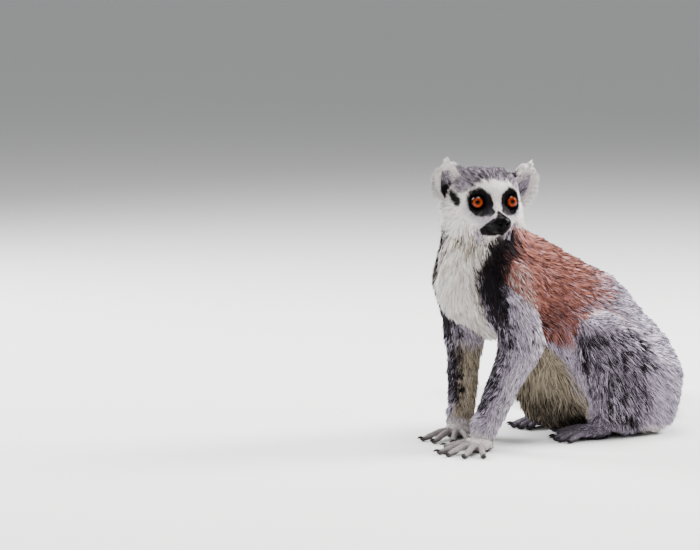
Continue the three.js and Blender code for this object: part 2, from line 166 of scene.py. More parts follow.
def read(items, attribute, width, kind=np.float32):
    values = np.empty(len(items) * width, kind)
    items.foreach_get(attribute, values)
    return values.reshape(-1, width) if width > 1 else values


def points_of(obj):
    return read(obj.data.vertices, "co", 3).astype(float) / MM


def move_points(obj, points):
    obj.data.vertices.foreach_set("co", (points * MM).astype(np.float32).ravel())
    obj.data.update()


def normals_of(obj):
    return read(obj.data.vertex_normals, "vector", 3).astype(float)


def edges_of(obj):
    return read(obj.data.edges, "vertices", 2, np.int32)


def face_middles(obj):
    return read(obj.data.polygons, "center", 3).astype(float) / MM


def relaxed(points, edges, share, passes):
    """Points moved towards the middle of their neighbours."""
    ends = np.concatenate([edges, edges[:, ::-1]])
    count = np.bincount(ends[:, 0], minlength=len(points))[:, None]
    for _ in range(passes):
        near = [np.bincount(ends[:, 0], points[ends[:, 1], k], len(points)) for k in range(3)]
        points = points + share * (np.stack(near, axis=1) / np.maximum(count, 1) - points)
    return points


def store(mesh, name, values):
    """Keeps a number or a colour for every vertex of a mesh."""
    kind, field = ("FLOAT", "value") if values.ndim == 1 else ("FLOAT_COLOR", "color")
    attribute = mesh.attributes.new(name, kind, "POINT")
    attribute.data.foreach_set(field, values.astype(np.float32).ravel())


def srgb(*levels):
    """Linear colour from 0 to 255 levels."""
    shares = [level / 255 for level in levels]
    return (*[s / 12.92 if s < 0.04 else ((s + 0.055) / 1.055) ** 2.4 for s in shares], 1)


class Finish:
    """A material, with short ways to add its nodes."""

    def __init__(self, name):
        self.material = bpy.data.materials.new(name)
        self.material.use_nodes = True
        self.tree = self.material.node_tree

    def give(self, inputs, values):
        """Sets each input to its value, or links it to its socket."""
        for name, value in values.items():
            if isinstance(value, bpy.types.NodeSocket):
                self.tree.links.new(value, inputs[name])
            else:
                inputs[name].default_value = value

    def shade(self, values):
        self.give(self.tree.nodes["Principled BSDF"].inputs, values)

    def node(self, kind, inputs=None, **settings):
        """The outputs of a new node."""
        made = self.tree.nodes.new(f"ShaderNode{kind}")
        for name, value in settings.items():
            setattr(made, name, value)
        self.give(made.inputs, inputs or {})
        return made.outputs

    def attribute(self, name):
        return self.node("Attribute", attribute_name=name)

    def place(self):
        return self.node("TexCoord")["Object"]

    def noise(self, place, scale, detail, roughness=0.5):
        values = {"Vector": place, "Scale": scale, "Detail": detail, "Roughness": roughness}
        return self.node("TexNoise", values)[0]

    def maths(self, operation, first, second=0.0):
        return self.node("Math", {0: first, 1: second}, operation=operation)[0]

    def mix(self, share, first, second):
        return self.node("Mix", {0: share, 6: first, 7: second}, data_type="RGBA")[2]

    def map_range(self, value, limits):
        """A value carried over from the first two limits to the last two."""
        names = ("From Min", "From Max", "To Min", "To Max")
        return self.node("MapRange", {"Value": value, **dict(zip(names, limits))})[0]


# ---------------------------------------------------------------- camera, floor and light
CAMERA_PLACE = (2428.5, -1726.3, 477.9)
CAMERA_TURN = (84, 0, 60)  # degrees
LENS_MM = 142.86
SENSOR_MM = 36
VIEW_END_M = 1000
LAMP_AIM = (0, -90, 130)
LAMPS = {
    # name: (place, size, watts, colour)
    "key": ((1300, -2300, 1900), 1300, 50, (1, 0.98, 0.96)),
    "fill": ((2600, 300, 900), 1800, 8, (0.96, 0.97, 1)),
    "rim_right": ((500, 1900, 1500), 1000, 180, (1, 0.98, 0.97)),
    "rim_left": ((-1900, -900, 1300), 1000, 110, (0.98, 0.98, 1)),
    "top": ((-200, 100, 2200), 1200, 90, (1, 1, 1)),
}
STUDIO_COLOUR = (0.9, 0.91, 0.93, 1)
STUDIO_STRENGTH = 0.42
FLOOR_SIZE_M = 400
FLOOR_COLOUR = (0.8, 0.8, 0.79, 1)

camera_data = bpy.data.cameras.new("camera")
camera_data.lens = LENS_MM
camera_data.sensor_width = SENSOR_MM
camera_data.clip_end = VIEW_END_M
camera = put("camera", camera_data)
camera.location = Vector(CAMERA_PLACE) * MM
camera.rotation_euler = [math.radians(turn) for turn in CAMERA_TURN]
bpy.context.scene.camera = camera


def add_lamp(name, place, size, watts, colour):
    lamp = bpy.data.lights.new(name, "AREA")
    lamp.size = size * MM
    lamp.energy = watts
    lamp.color = colour
    obj = put(name, lamp)
    obj.location = Vector(place) * MM
    aim = Vector(LAMP_AIM) * MM - obj.location
    obj.rotation_euler = aim.to_track_quat("-Z", "Y").to_euler()


for lamp_name, lamp_values in LAMPS.items():
    add_lamp(lamp_name, *lamp_values)

world = bpy.data.worlds.new("studio")
world.use_nodes = True
background = world.node_tree.nodes["Background"].inputs
background["Color"].default_value = STUDIO_COLOUR
background["Strength"].default_value = STUDIO_STRENGTH
bpy.context.scene.world = world

floor = added(bpy.ops.mesh.primitive_plane_add, size=FLOOR_SIZE_M)
floor.name = "floor"
floor_paint = Finish("floor_paint")
floor_paint.shade({"Base Color": FLOOR_COLOUR, "Roughness": 0.7})
floor.data.materials.append(floor_paint.material)

# ---------------------------------------------------------------- the animal's build
HEAD_CENTRE = np.array([9, -167.5, 255.5])
HEAD_YAW = Matrix.Rotation(math.radians(74.5), 3, "Z")
HEAD_PITCH = Matrix.Rotation(math.radians(3), 3, "X")
HEAD_TURN = np.array(HEAD_YAW @ HEAD_PITCH)
EYE_R = 8.2
EYE_PLACE = (16.8, -30.5, 0.4)  # of the left eye, in the head's own frame
EYE_OUTWARDS = 22  # degrees from straight ahead to the middle of the lids' opening

LIMBS = {
    "left": {
        "side": 1,
        "shoulder": (42, -166, 172),
        "elbow": (60, -154, 112),
        "wrist": (50, -190, 26),
        "hip": (36, 12, 56),
        "knee": (60, -64, 110),
        "ankle": (52, -30, 30),
        "hand_heading": 27,
        "foot_heading": -4,
    },
    "right": {
        "side": -1,
        "shoulder": (-42, -166, 170),
        "elbow": (-52, -152, 112),
        "wrist": (-41, -164, 26),
        "hip": (-36, 12, 56),
        "knee": (-60, -62, 108),
        "ankle": (-50, -20, 30),
        "hand_heading": 42,
        "foot_heading": 4,
    },
}
PAW_SHAPES = {
    # palm or sole: half width, half length, height. ahead: from the joint above to its middle.
    # digits, inner one first: angle from the heading, length, radius.
    "hand": {
        "joint": "wrist",
        "palm": (13.5, 18, 9),
        "ahead": 15,
        "digits": [(-78, 30, 4.3), (-30, 33, 4.1), (-9, 38, 4.2), (13, 40, 4.2), (36, 33, 4)],
    },
    "foot": {
        "joint": "ankle",
        "palm": (12, 22, 9),
        "ahead": 26,
        "digits": [(-52, 36, 5.4), (-15, 26, 4.1), (-4, 30, 4.2), (7, 31, 4.2), (20, 26, 4)],
    },
}
KNUCKLES_AHEAD = (0.05, 0.72)  # of a thumb or big toe and of the rest, in half lengths
GROUND_DIP = 1.5
SPINE = [(0, 14, 48), (0, -50, 108), (0, -110, 150), (0, -160, 172)]
BREAST = [(0, -190, 190), (0, -190, 130), (0, -140, 100), (0, -80, 60)]
NECK = [(0, -162, 186), (4, -170, 226)]
TAIL = [
    (-2, 56, 40),
    (-28, 84, 30),
    (-72, 112, 26),
    (-124, 140, 26),
    (-182, 164, 26),
    (-240, 170, 26),
    (-281, 144, 26),
    (-290, 98, 26),
    (-262, 58, 26),
    (-214, 38, 23),
    (-164, 34, 17),
]


def in_head(points):
    """Places in the head's own frame: x to its left, -y forwards, z up."""
    return (np.asarray(points, float) - HEAD_CENTRE) @ HEAD_TURN


def head_way(direction):
    return np.asarray(direction, float) @ HEAD_TURN.T


def from_head(places):
    return head_way(places) + HEAD_CENTRE


def heading(angle):
    return np.array([math.sin(math.radians(angle)), -math.cos(math.radians(angle)), 0])


def digit_route(knuckle, angle, length, radius):
    """Middle line of a digit that arches from its knuckle and lies along the ground."""
    along = heading(angle)
    rise = radius * 1.1
    rest = radius - GROUND_DIP
    steps = [
        (-0.3, knuckle[2]),
        (0.15, knuckle[2] + 0.35 * rise),
        (0.5, radius + 0.6 * rise),
        (0.8, rest + 0.6),
        (1, rest),
    ]
    return [np.array([*(knuckle + along * length * share)[:2], z]) for share, z in steps]


def paw_layout(kind, limb):
    """Heading, joint above, middle of the palm or sole, and routes and radii of the digits."""
    shape = PAW_SHAPES[kind]
    angle, side = limb[f"{kind}_heading"], limb["side"]
    joint = np.array(limb[shape["joint"]], float)
    width, length, height = shape["palm"]
    centre = joint + heading(angle) * shape["ahead"]
    across = heading(angle + 90 * side)
    digits = []
    for n, (spread, reach, radius) in enumerate(shape["digits"]):
        knuckle = np.array([*centre[:2], height * 0.8])
        knuckle += heading(angle) * length * KNUCKLES_AHEAD[n > 0]
        knuckle += across * width * (-0.6 if n == 0 else (n - 2.5) * 0.42)
        digits.append((digit_route(knuckle, angle + side * spread, reach, radius), radius))
    return kind, angle, joint, centre, digits


PAWS = {f"{kind}_{name}": paw_layout(kind, LIMBS[name]) for name in LIMBS for kind in PAW_SHAPES}

# ---------------------------------------------------------------- regions of the coat
# depth: from the skin to the coat's outline. length, width, lift: of one tuft, with the lift from
# the skin in degrees. clump: how far tips gather to their lock. lock: from one lock to the next.
# density: how closely tufts stand. The feet have the hands' and digits' coat.
TRAITS = ("depth", "length", "width", "lift", "clump", "lock", "density")
COAT = {
    "trunk": (6.5, 13, 0.74, 31, 0.25, 4, 1),
    "chest": (8, 21, 0.75, 22, 0.35, 6, 1),
    "neck": (8, 17, 0.72, 28, 0.3, 5, 1),
    "head": (4.2, 8, 0.48, 24, 0.2, 3, 2.8),
    "cheek": (6, 12.5, 0.55, 27, 0.25, 4, 2.2),
    "face": (1.4, 3.4, 0.34, 15, 0.1, 2, 6),
    "muzzle": (0.3, 1.5, 0.26, 8, 0, 2, 2),
    "upper_arm": (5, 11, 0.7, 28, 0.2, 4, 1.2),
    "forearm": (4, 9.5, 0.62, 25, 0.2, 3, 1.6),
    "hand": (0.9, 4.6, 0.4, 17, 0.1, 2, 3),
    "digit": (0.7, 2.5, 0.34, 13, 0.1, 2, 3),
    "thigh": (6.5, 15, 0.78, 29, 0.35, 6, 1),
    "shank": (5, 13, 0.74, 27, 0.35, 5, 1),
    "tail": (16, 29, 1.0, 34, 0.4, 6, 1.2),
}
REGIONS = list(COAT)
HEAD_REGIONS = ["head", "cheek", "face", "muzzle"]
PAW_REGIONS = ["hand", "digit"]
EAR_BACK, EAR_FRONT, EAR_RIM = 1, 2, 3
EAR_COAT = {
    EAR_BACK: (0, 7, 0.42, 20, 0.2, 3, 2.4),
    EAR_FRONT: (0, 5.5, 0.34, 12, 0.3, 3, 0.9),
    EAR_RIM: (0, 8.5, 0.42, 14, 0.35, 3, 8),
}
# region: (route in the head's frame, radius)
HEAD_BONES = [
    ("head", [(0, 6, 4), (0, -8, 2)], 34),
    ("cheek", [(24, 2, -18), (0, 12, -24), (-24, 2, -18)], 20),
    ("face", [(18, -30, -3), (0, -36, 2), (-18, -30, -3)], 17),
    ("face", [(13, -42, -25), (0, -48, -28), (-13, -42, -25)], 11),
    ("muzzle", [(0, -50, -19), (0, -64, -18)], 11),
]
LIMB_BONES = [
    ("upper_arm", "shoulder", "elbow", 27),
    ("forearm", "elbow", "wrist", 19),
    ("thigh", "hip", "knee", 40),
    ("shank", "knee", "ankle", 24),
]
PALM_BONE_R = 13
REGION_SHARPNESS = 7


def bones():
    """Region, route and radius of each stretch of the body."""
    found = [("trunk", SPINE, 52), ("chest", BREAST, 26), ("neck", NECK, 40)]
    found += [(region, from_head(route), radius) for region, route, radius in HEAD_BONES]
    found.append(("tail", TAIL[1:], 23))
    for name, limb in LIMBS.items():
        found += [(region, [limb[a], limb[b]], radius) for region, a, b, radius in LIMB_BONES]
        for kind in PAW_SHAPES:
            _, _, joint, centre, digits = PAWS[f"{kind}_{name}"]
            found.append(("hand", [(*joint[:2], 12), (*centre[:2], 8)], PALM_BONE_R))
            found += [("digit", route[1:], radius * 0.9) for route, radius in digits]
    return found


BONES = bones()


def region_shares(points):
    """How much each point belongs to each region, as rows that add up to 1."""
    reach = np.full((len(points), len(REGIONS)), 1e9)
    for region, route, radius in BONES:
        column = REGIONS.index(region)
        distance = line_distance(points, route) / radius
        reach[:, column] = np.minimum(reach[:, column], distance)
    shares = np.exp(-REGION_SHARPNESS * (reach - reach.min(1, keepdims=True)))
    return shares / shares.sum(1, keepdims=True)


def share_of(shares, *names):
    return shares[:, [REGIONS.index(name) for name in names]].sum(1)


def coat_trait(trait, shares, ears=None):
    """A trait of the coat at places with these shares, and on the ears with these kinds."""
    column = TRAITS.index(trait)
    values = shares @ np.array([row[column] for row in COAT.values()], float)
    if ears is not None:
        for kind, row in EAR_COAT.items():
            values[ears == kind] = row[column]
    return values


# ---------------------------------------------------------------- skin
BODY_VOXEL = 1.8
SKIN_VOXEL = 1.0
SKIN_TRIANGLES = 120000
SWELL = 0.5  # makes the solids overlap, so that they join
BODY_SMOOTHING = (0.6, 40)  # share and passes
DRAW_STEPS = 5
DRAW_SMOOTHING = (0.3, 3)
TRUNK_NODES = ["head", "muzzle", "neck", "chest", "belly", "rump"]
LIMB_NODES = ["upper_arm", "forearm", "thigh", "shank"]
TAIL_NODES = [f"tail_{n}" for n in range(1, 7)]
# How much of the smoothing a region takes, where it isn't all of it.
SOFTNESS = {"head": 0.25, "cheek": 0.3, "face": 0.12, "muzzle": 0.1, "hand": 0.3, "digit": 0.1}


def under_coat():
    """The body's form, drawn in from the coat's outline by the depth of the coat."""
    names = TRUNK_NODES + TAIL_NODES
    names += [f"{part}_{side}" for part in LIMB_NODES for side in LIMBS]
    body = joined([put(name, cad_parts[name].data.copy()) for name in names], "skin")
    bpy.ops.object.mode_set(mode="EDIT")
    bpy.ops.mesh.select_all(action="SELECT")
    bpy.ops.mesh.remove_doubles(threshold=1e-5)
    bpy.ops.object.mode_set(mode="OBJECT")
    body.data.materials.clear()
    apply_modifier(body, "DISPLACE", strength=SWELL * MM, mid_level=0)
    apply_modifier(body, "REMESH", mode="VOXEL", voxel_size=BODY_VOXEL * MM)
    edges = edges_of(body)
    points = points_of(body)
    shares = region_shares(points)
    soft = (shares @ np.array([SOFTNESS.get(region, 1) for region in REGIONS]))[:, None]
    share, passes = BODY_SMOOTHING
    points = relaxed(points, edges, share * soft, passes)
    share, passes = DRAW_SMOOTHING
    step = (coat_trait("depth", shares) / DRAW_STEPS)[:, None]
    for _ in range(DRAW_STEPS):
        move_points(body, points)
        points = relaxed(points - normals_of(body) * step, edges, share * soft, passes)
    move_points(body, points)
    return body


def tube(name, route, radii):
    """A round tube with a radius at each point of its route and closed ends."""
    curve = bpy.data.curves.new(name, "CURVE")
    curve.dimensions = "3D"
    curve.bevel_depth = MM
    curve.bevel_resolution = 5
    curve.resolution_u = 6
    curve.use_fill_caps = True
    spline = curve.splines.new("NURBS")
    spline.points.add(len(route) - 1)
    spline.order_u = 3
    spline.use_endpoint_u = True
    for point, place, radius in zip(spline.points, route, radii):
        point.co = (*(np.asarray(place) * MM), 1)
        point.radius = radius
    select_only(put(name, curve))
    bpy.ops.object.convert(target="MESH")
    return bpy.context.object


def lump(place, radii, turn=0):
    ball = added_sphere(24, 16, 1)
    ball.scale = radii
    ball.rotation_euler = (0, 0, math.radians(turn))
    ball.location = Vector(place) * MM
    return settle(ball)


CUFF_TOP = 30
CUFF_RADII = (11, 10.5, 8)
DIGIT_RADII = (1.1, 1.08, 0.86, 0.9, 0.6)  # along a digit, of its own radius
# The lumps of a digit: step of its route, share of the way to the next one, shape in radii.
DIGIT_LUMPS = [
    (1, 0.35, (1.05, 1.05, 1.05)),
    (2, 0.55, (0.98, 0.98, 0.98)),
    (3, 0.65, (0.94, 0.94, 0.8)),
]


def paw_pieces(kind, angle, joint, centre, digits):
    """Palm or sole, cuff and digits with their joints, a little inside the coat."""
    width, length, height = PAW_SHAPES[kind]["palm"]
    top = np.array([*joint[:2], CUFF_TOP])
    end = np.array([*centre[:2], height * 0.8])
    radii = (width - 1, length - 1, height - 0.8)
    pieces = [
        lump((*centre[:2], height - GROUND_DIP), radii, angle),
        tube("cuff", [top, mixed(top, end, 0.5), end], CUFF_RADII),
    ]
    for route, radius in digits:
        full = radius - 0.5
        pieces.append(tube("digit", route, [full * share for share in DIGIT_RADII]))
        for step, share, shape in DIGIT_LUMPS:
            place = mixed(route[step], route[step + 1], share)
            pieces.append(lump(place, [full * size for size in shape]))
    return pieces


EAR_ROOT = (31, 3, -5)
EAR_LENGTH = 40
EAR_WIDTH = 29
EAR_CUP = 8
# Turns of an ear in degrees: outwards, back, and round its own length.
EAR_LEAN = {"left": 28, "right": 13}
EAR_TILT = -6
EAR_SWING = 24
EAR_TIP = 0.985  # how far up the leaf its mesh goes
EAR_THICKNESS = 2.2


def ear_half_width(v):
    return EAR_WIDTH / 2 * np.sin(math.pi * (0.2 + 0.8 * v**1.25)) ** 0.6


def ear_place(name, u, v, out=0):
    """A place on an ear's leaf: u across it, v from root to tip, out towards its back."""
    side = LIMBS[name]["side"]
    cup = EAR_CUP * (1 - u * u) * np.sin(math.pi * (0.3 + 0.7 * v))
    leaf = np.stack([side * u * ear_half_width(v), cup + out, v * EAR_LENGTH], axis=-1)
    turn = Matrix.Rotation(side * math.radians(EAR_LEAN[name]), 3, "Y")
    turn = turn @ Matrix.Rotation(math.radians(EAR_TILT), 3, "X")
    turn = turn @ Matrix.Rotation(side * math.radians(EAR_SWING), 3, "Z")
    return from_head(leaf @ np.array(turn).T + np.array(EAR_ROOT) * (side, 1, 1))


def ear_leaf(name):
    """The thin cupped leaf of one ear, closed round its rim."""
    leaf = added(bpy.ops.mesh.primitive_grid_add, x_subdivisions=20, y_subdivisions=30, size=2)
    flat = read(leaf.data.vertices, "co", 3).astype(float)
    move_points(leaf, ear_place(name, flat[:, 0], EAR_TIP * (flat[:, 1] + 1) / 2))
    apply_modifier(leaf, "SOLIDIFY", thickness=EAR_THICKNESS * MM, offset=0)
    return leaf


skin_pieces = [under_coat()] + [ear_leaf(name) for name in LIMBS]
for paw in PAWS.values():
    skin_pieces += paw_pieces(*paw)
skin = joined(skin_pieces, "skin")
apply_modifier(skin, "REMESH", mode="VOXEL", voxel_size=SKIN_VOXEL * MM)
skin.data.materials.clear()


def thin_out(obj):
    """Fewer, larger facets where the coat is deep."""
    fine = share_of(region_shares(points_of(obj)), *HEAD_REGIONS, *PAW_REGIONS)
    group = obj.vertex_groups.new(name="coarse")
    for level in range(11):
        chosen = np.nonzero(np.round(10 * (1 - fine)).astype(int) == level)[0]
        group.add(chosen.tolist(), level / 10, "REPLACE")
    ratio = SKIN_TRIANGLES / (2 * len(obj.data.polygons))
    apply_modifier(obj, "DECIMATE", ratio=ratio, vertex_group="coarse", vertex_group_factor=1)
    obj.vertex_groups.clear()


def refine(obj, chosen):
    """Splits the chosen faces into finer ones."""
    select_only(obj)
    obj.data.polygons.foreach_set("select", chosen)
    bpy.ops.object.mode_set(mode="EDIT")
    bpy.ops.mesh.select_mode(type="FACE")
    bpy.ops.mesh.subdivide(number_cuts=1, smoothness=0)
    bpy.ops.mesh.select_all(action="SELECT")
    bpy.ops.mesh.quads_convert_to_tris()
    bpy.ops.object.mode_set(mode="OBJECT")


def eye_centre(side):
    return from_head(np.array(EYE_PLACE) * (side, 1, 1))


def eye_axis(side):
    """The way the opening between an eye's lids faces."""
    turn = math.radians(EYE_OUTWARDS)
    return head_way((side * math.sin(turn), -math.cos(turn), 0))


def from_eye(points, side):
    """Distance from an eye's middle, the way out from it, and the angle from its opening."""
    offset = points - eye_centre(side)
    distance = np.linalg.norm(offset, axis=1)
    way = offset / np.maximum(distance, 1e-6)[:, None]
    return distance, way, np.degrees(np.arccos(np.clip(way @ eye_axis(side), -1, 1)))


EYE_REACH = 17
MUZZLE_BACK = -36
MUZZLE_HALF_WIDTH = 22
LID_OPENING = 42  # degrees from the middle of the eye's opening to the lids' edge
LID_THICKNESS = 1.1
LID_FOLD = (17, 4.5)  # its middle and width, in degrees from the lids' edge
SOCKET_DEPTH = 1.3  # from the eye's surface in to the skin behind its opening
MOUTH = [(0, -62, -24.8), (4.5, -60, -24.6), (8, -53, -25), (12, -46, -25.6), (15, -39, -26.4)]
NOSTRIL = [(2.4, -66.5, -18.6), (4.2, -64.5, -17.6), (6.4, -60.5, -16.4)]
LIP_SPLIT = [(0, -68, -16), (0, -66, -21), (0, -63, -25)]
# Grooves: route, depth, width, height of the lips along it.
MUZZLE_GROOVES = [
    (NOSTRIL, 2.3, 1.05, 0.35),
    (MOUTH, 1.1, 0.8, 0.15),
    (mirrored(NOSTRIL), 2.3, 1.05, 0.35),
    (mirrored(MOUTH), 1.1, 0.8, 0.15),
    (LIP_SPLIT, 0.7, 0.6, 0),
]
FOLD_REACH = 6.5  # from a fold on the coat's outline to the skin under it
FLANK_FOLD = [
    (44, -36, 144),
    (53, -62, 139),
    (62, -80, 131),
    (64, -87, 122),
    (57, -91, 108),
    (44, -94, 97),
]
KNEE_FOLD = [(57, -90, 106), (82, -71, 104), (84, -50, 94), (80, -24, 75), (78, -13, 56)]
# Folds: route, depth and width of the groove, half width of its dark shade.
FOLDS = [(FLANK_FOLD, 2.6, 4.5, 5), (KNEE_FOLD, 3.4, 5, 5.5)]


def needs_detail(points):
    """Whether a place is round the eyes or on the muzzle."""
    x, y, z = both_sides(in_head(points)).T
    eye = np.minimum(from_eye(points, 1)[0], from_eye(points, -1)[0]) < EYE_REACH
    return eye | ((y < MUZZLE_BACK) & (z < 0) & (x < MUZZLE_HALF_WIDTH))


def shape_lids(points):
    """Draws the skin inside an eye's opening in behind the eye, and lays lids over the rest."""
    for side in (1, -1):
        distance, way, angle = from_eye(points, side)
        upwards = way @ head_way((0, 0, 1))
        from_edge = angle - (LID_OPENING - 3 * smooth(0.2, 0.8, upwards))
        lid = EYE_R + LID_THICKNESS + 0.5 * smooth(12, 34, from_edge)
        fold = np.exp(-(((from_edge - LID_FOLD[0]) / LID_FOLD[1]) ** 2))
        lid = lid - fold * (0.35 + 0.3 * upwards)
        radius = mixed(EYE_R - SOCKET_DEPTH, lid, smooth(-2.5, 2.5, from_edge))
        share = (1 - smooth(14, 40, from_edge)) * (distance < EYE_REACH)
        points = mixed(points, eye_centre(side) + way * radius[:, None], share[:, None])
    return points


def carve(points, normals, distance, depth, width, edge=0):
    """Presses a groove where the distance is small, with raised lips if edge is given."""
    press = depth * np.exp(-((distance / width) ** 2))
    lips = edge * np.exp(-(((distance - 2 * width) / width) ** 2))
    return points - normals * (press - lips)[:, None]


def shape_muzzle(points, normals):
    """Nostrils, mouth and the split of the upper lip."""
    head = in_head(points)
    for route, *groove in MUZZLE_GROOVES:
        points = carve(points, normals, line_distance(head, route), *groove)
    return points


def shape_folds(points, normals):
    """Grooves between flank and thigh and behind the knee, on both sides of the body."""
    across = both_sides(points)
    for route, depth, width, _ in FOLDS:
        distance = np.maximum(line_distance(across, route) - FOLD_REACH, 0)
        points = carve(points, normals, distance, depth, width)
    return points


move_points(skin, relaxed(points_of(skin), edges_of(skin), 0.5, 3))
thin_out(skin)
refine(skin, needs_detail(face_middles(skin)))
move_points(skin, shape_folds(points_of(skin), normals_of(skin)))
skin_points = shape_lids(points_of(skin))
move_points(skin, skin_points)
skin_points = shape_muzzle(skin_points, normals_of(skin))
skin_points[:, 2] = np.maximum(skin_points[:, 2], 0)
move_points(skin, skin_points)
skin_points = points_of(skin)
select_only(skin)
bpy.ops.object.shade_smooth()

# ---------------------------------------------------------------- markings
# Four weights say what colour the coat has at a place: white, brown, dark and tan. What is left of
# them is grizzled grey. Each stretch between two numbers of smooth() is the width of a soft edge.
WHITE, BROWN, DARK, TAN = range(4)
OUT_OF_BACK = (0.656, 0.755)  # y and z of one step straight out of the sloping back
TRUNK_MIDDLE = 48.7  # steps out to the middle of the trunk
# Straight edges of the brown: y and z of a place on each, and its lean.
SHOULDER_EDGE = (-139, 120.6, 0.573)
BELLY_EDGE = (-90, 101, 0.3)
THIGH_EDGE = ([-100, -92, -86, -80, -62, -38, -10], [58, 51, 58, 57, 54, 52, 46])  # y, how far out
# the thigh's top edge, along which light is painted
THIGH_RIDGE = [(63, -75, 132), (52, -54, 138), (48, -11, 124), (54, 18, 100), (75, 22, 75)]
CHEST_LINE = [(0, -200, 216), (0, -226, 186), (0, -222, 150), (0, -192, 118), (0, -158, 98)]
THROAT = [(20, -204, 214), (46, -180, 222)]
THROAT_FLECKS = [(10, -208, 216), (33, -195, 213), (28, -203, 203)]
LEFT_BAND = [(43, -158, 214), (49, -172, 203), (54, -186, 190), (56, -191, 168), (60, -188, 148)]
RIGHT_BAND = [
    (-9, -206, 234),
    (-13, -209, 214),
    (-21, -208, 196),
    (-31, -204, 180),
    (-43, -196, 162),
    (-51, -185, 120),
]
# Dark bands over the shoulders: route, half width, soft edge, share of dark.
BANDS = [(LEFT_BAND, 15, 17, 0.88), (RIGHT_BAND, 13.5, 13, 0.66)]
GLAND_SHARE = 0.72  # along the forearm
GLAND_OFFSET = (-13.2, -9, 0)  # from the forearm's middle line, for the left arm
RING_START = 40
RING_LENGTH = 27
TAIL_TIP = 34
MUZZLE_EDGE = (-6.2, 0.82, 0.35)  # height at the bridge, fall outwards, fall backwards
MUZZLE_FLOOR = -33
MUZZLE_REAR = -34
CROWN_EDGE = (21.8, 0.0165)  # height at the middle, fall with the square of how far out
EYE_PATCH = ((15.8, 0.2), (12, 14))  # middle and radii, outwards and upwards
TEAR_LINE = [(9, -41, -6), (6.5, -45, -10)]
EAR_ROOT_HEIGHT = -2
EAR_SIDE = 22  # ears start this far out in the head's own frame
EAR_REACH = 2.6  # from the middle of an ear's leaf to its skin, and a little more
EAR_NOTCH = [(-40, 11, 8), (-38, 2, 7.5), (-37, -5, 5), (-34.5, -14, -1)]
EAR_INSIDE_DARK_AND_SHADE = {"left": 0.35, "right": 1}  # how dark the inside of an ear is: its dark skin, with painted shade in its hollow, deeper in the right ear


def curve_through(route, per_span):
    """Points along a smooth curve through a route."""
    p = np.array([route[0], *route, route[-1]], float)
    found = []
    for a, b, c, d in zip(p[:-3], p[1:-2], p[2:-1], p[3:]):
        for t in np.arange(per_span) / per_span:
            turn = (2 * b) + (c - a) * t + (2 * a - 5 * b + 4 * c - d) * t**2
            found.append(0.5 * (turn + (3 * b - a - 3 * c + d) * t**3))
    return np.array([*found, p[-2]])


TAIL_CURVE = curve_through(TAIL, 6)
TAIL_STEPS = np.linalg.norm(np.diff(TAIL_CURVE, axis=0), axis=1)
TAIL_PLACES = np.concatenate([[0], np.cumsum(TAIL_STEPS)])
TAIL_WAYS = unit(np.diff(TAIL_CURVE, axis=0))


def paint(marks, channel, share):
    """Covers what is there by a share of one colour."""
    marks *= (1 - share)[:, None]
    if channel is not None:
        marks[:, channel] += share


def paint_brown(marks, points, shares, back):
    """The brown of the back and flanks, with painted shade low on the flank and in streaks along
    its folds.
    """
    x, y, z = both_sides(points).T
    along = z * OUT_OF_BACK[0] - y * OUT_OF_BACK[1]
    on_trunk = share_of(shares, "trunk", "chest", "neck", "upper_arm", "head", "cheek")
    thigh = share_of(shares, "thigh", "shank")
    before_thigh = smooth(8, -5, x - np.interp(y, *THIGH_EDGE) + 2 * waves(points, 12, 8))
    brown = smooth(40, 176, along + 9 * waves(points, 26, 1)) * smooth(-41, -33, back)
    brown *= 1 - 0.6 * smooth(34, 50, back) * smooth(132, 90, along)
    edge_y, edge_z, lean = SHOULDER_EDGE
    behind_shoulder = y - edge_y + lean * (z - edge_z) + 3 * waves(points, 16, 9)
    brown *= 1 - smooth(22, 34, x) * smooth(-8, -50, behind_shoulder)
    edge_y, edge_z, lean = BELLY_EDGE
    above_belly = z - edge_z + lean * (y - edge_y) + 1.5 * waves(points, 9, 15)
    brown *= np.maximum(smooth(-3, 4, above_belly), smooth(26, 14, x))
    paint(marks, BROWN, 0.8 * brown * (on_trunk + thigh * before_thigh) * smooth(236, 222, z))
    # painted shade: darker low on the flank, towards the belly and thigh, and in streaks along its
    # folds
    flank = smooth(166, 126, z) * smooth(-146, -120, y) * smooth(-34, -66, y)
    crease_shade = smooth(0.2, 1.5, waves(points * (1, 1, 0.6), 15, 17))
    paint(marks, DARK, brown * on_trunk * np.maximum(0.5 * flank, 0.3 * crease_shade))


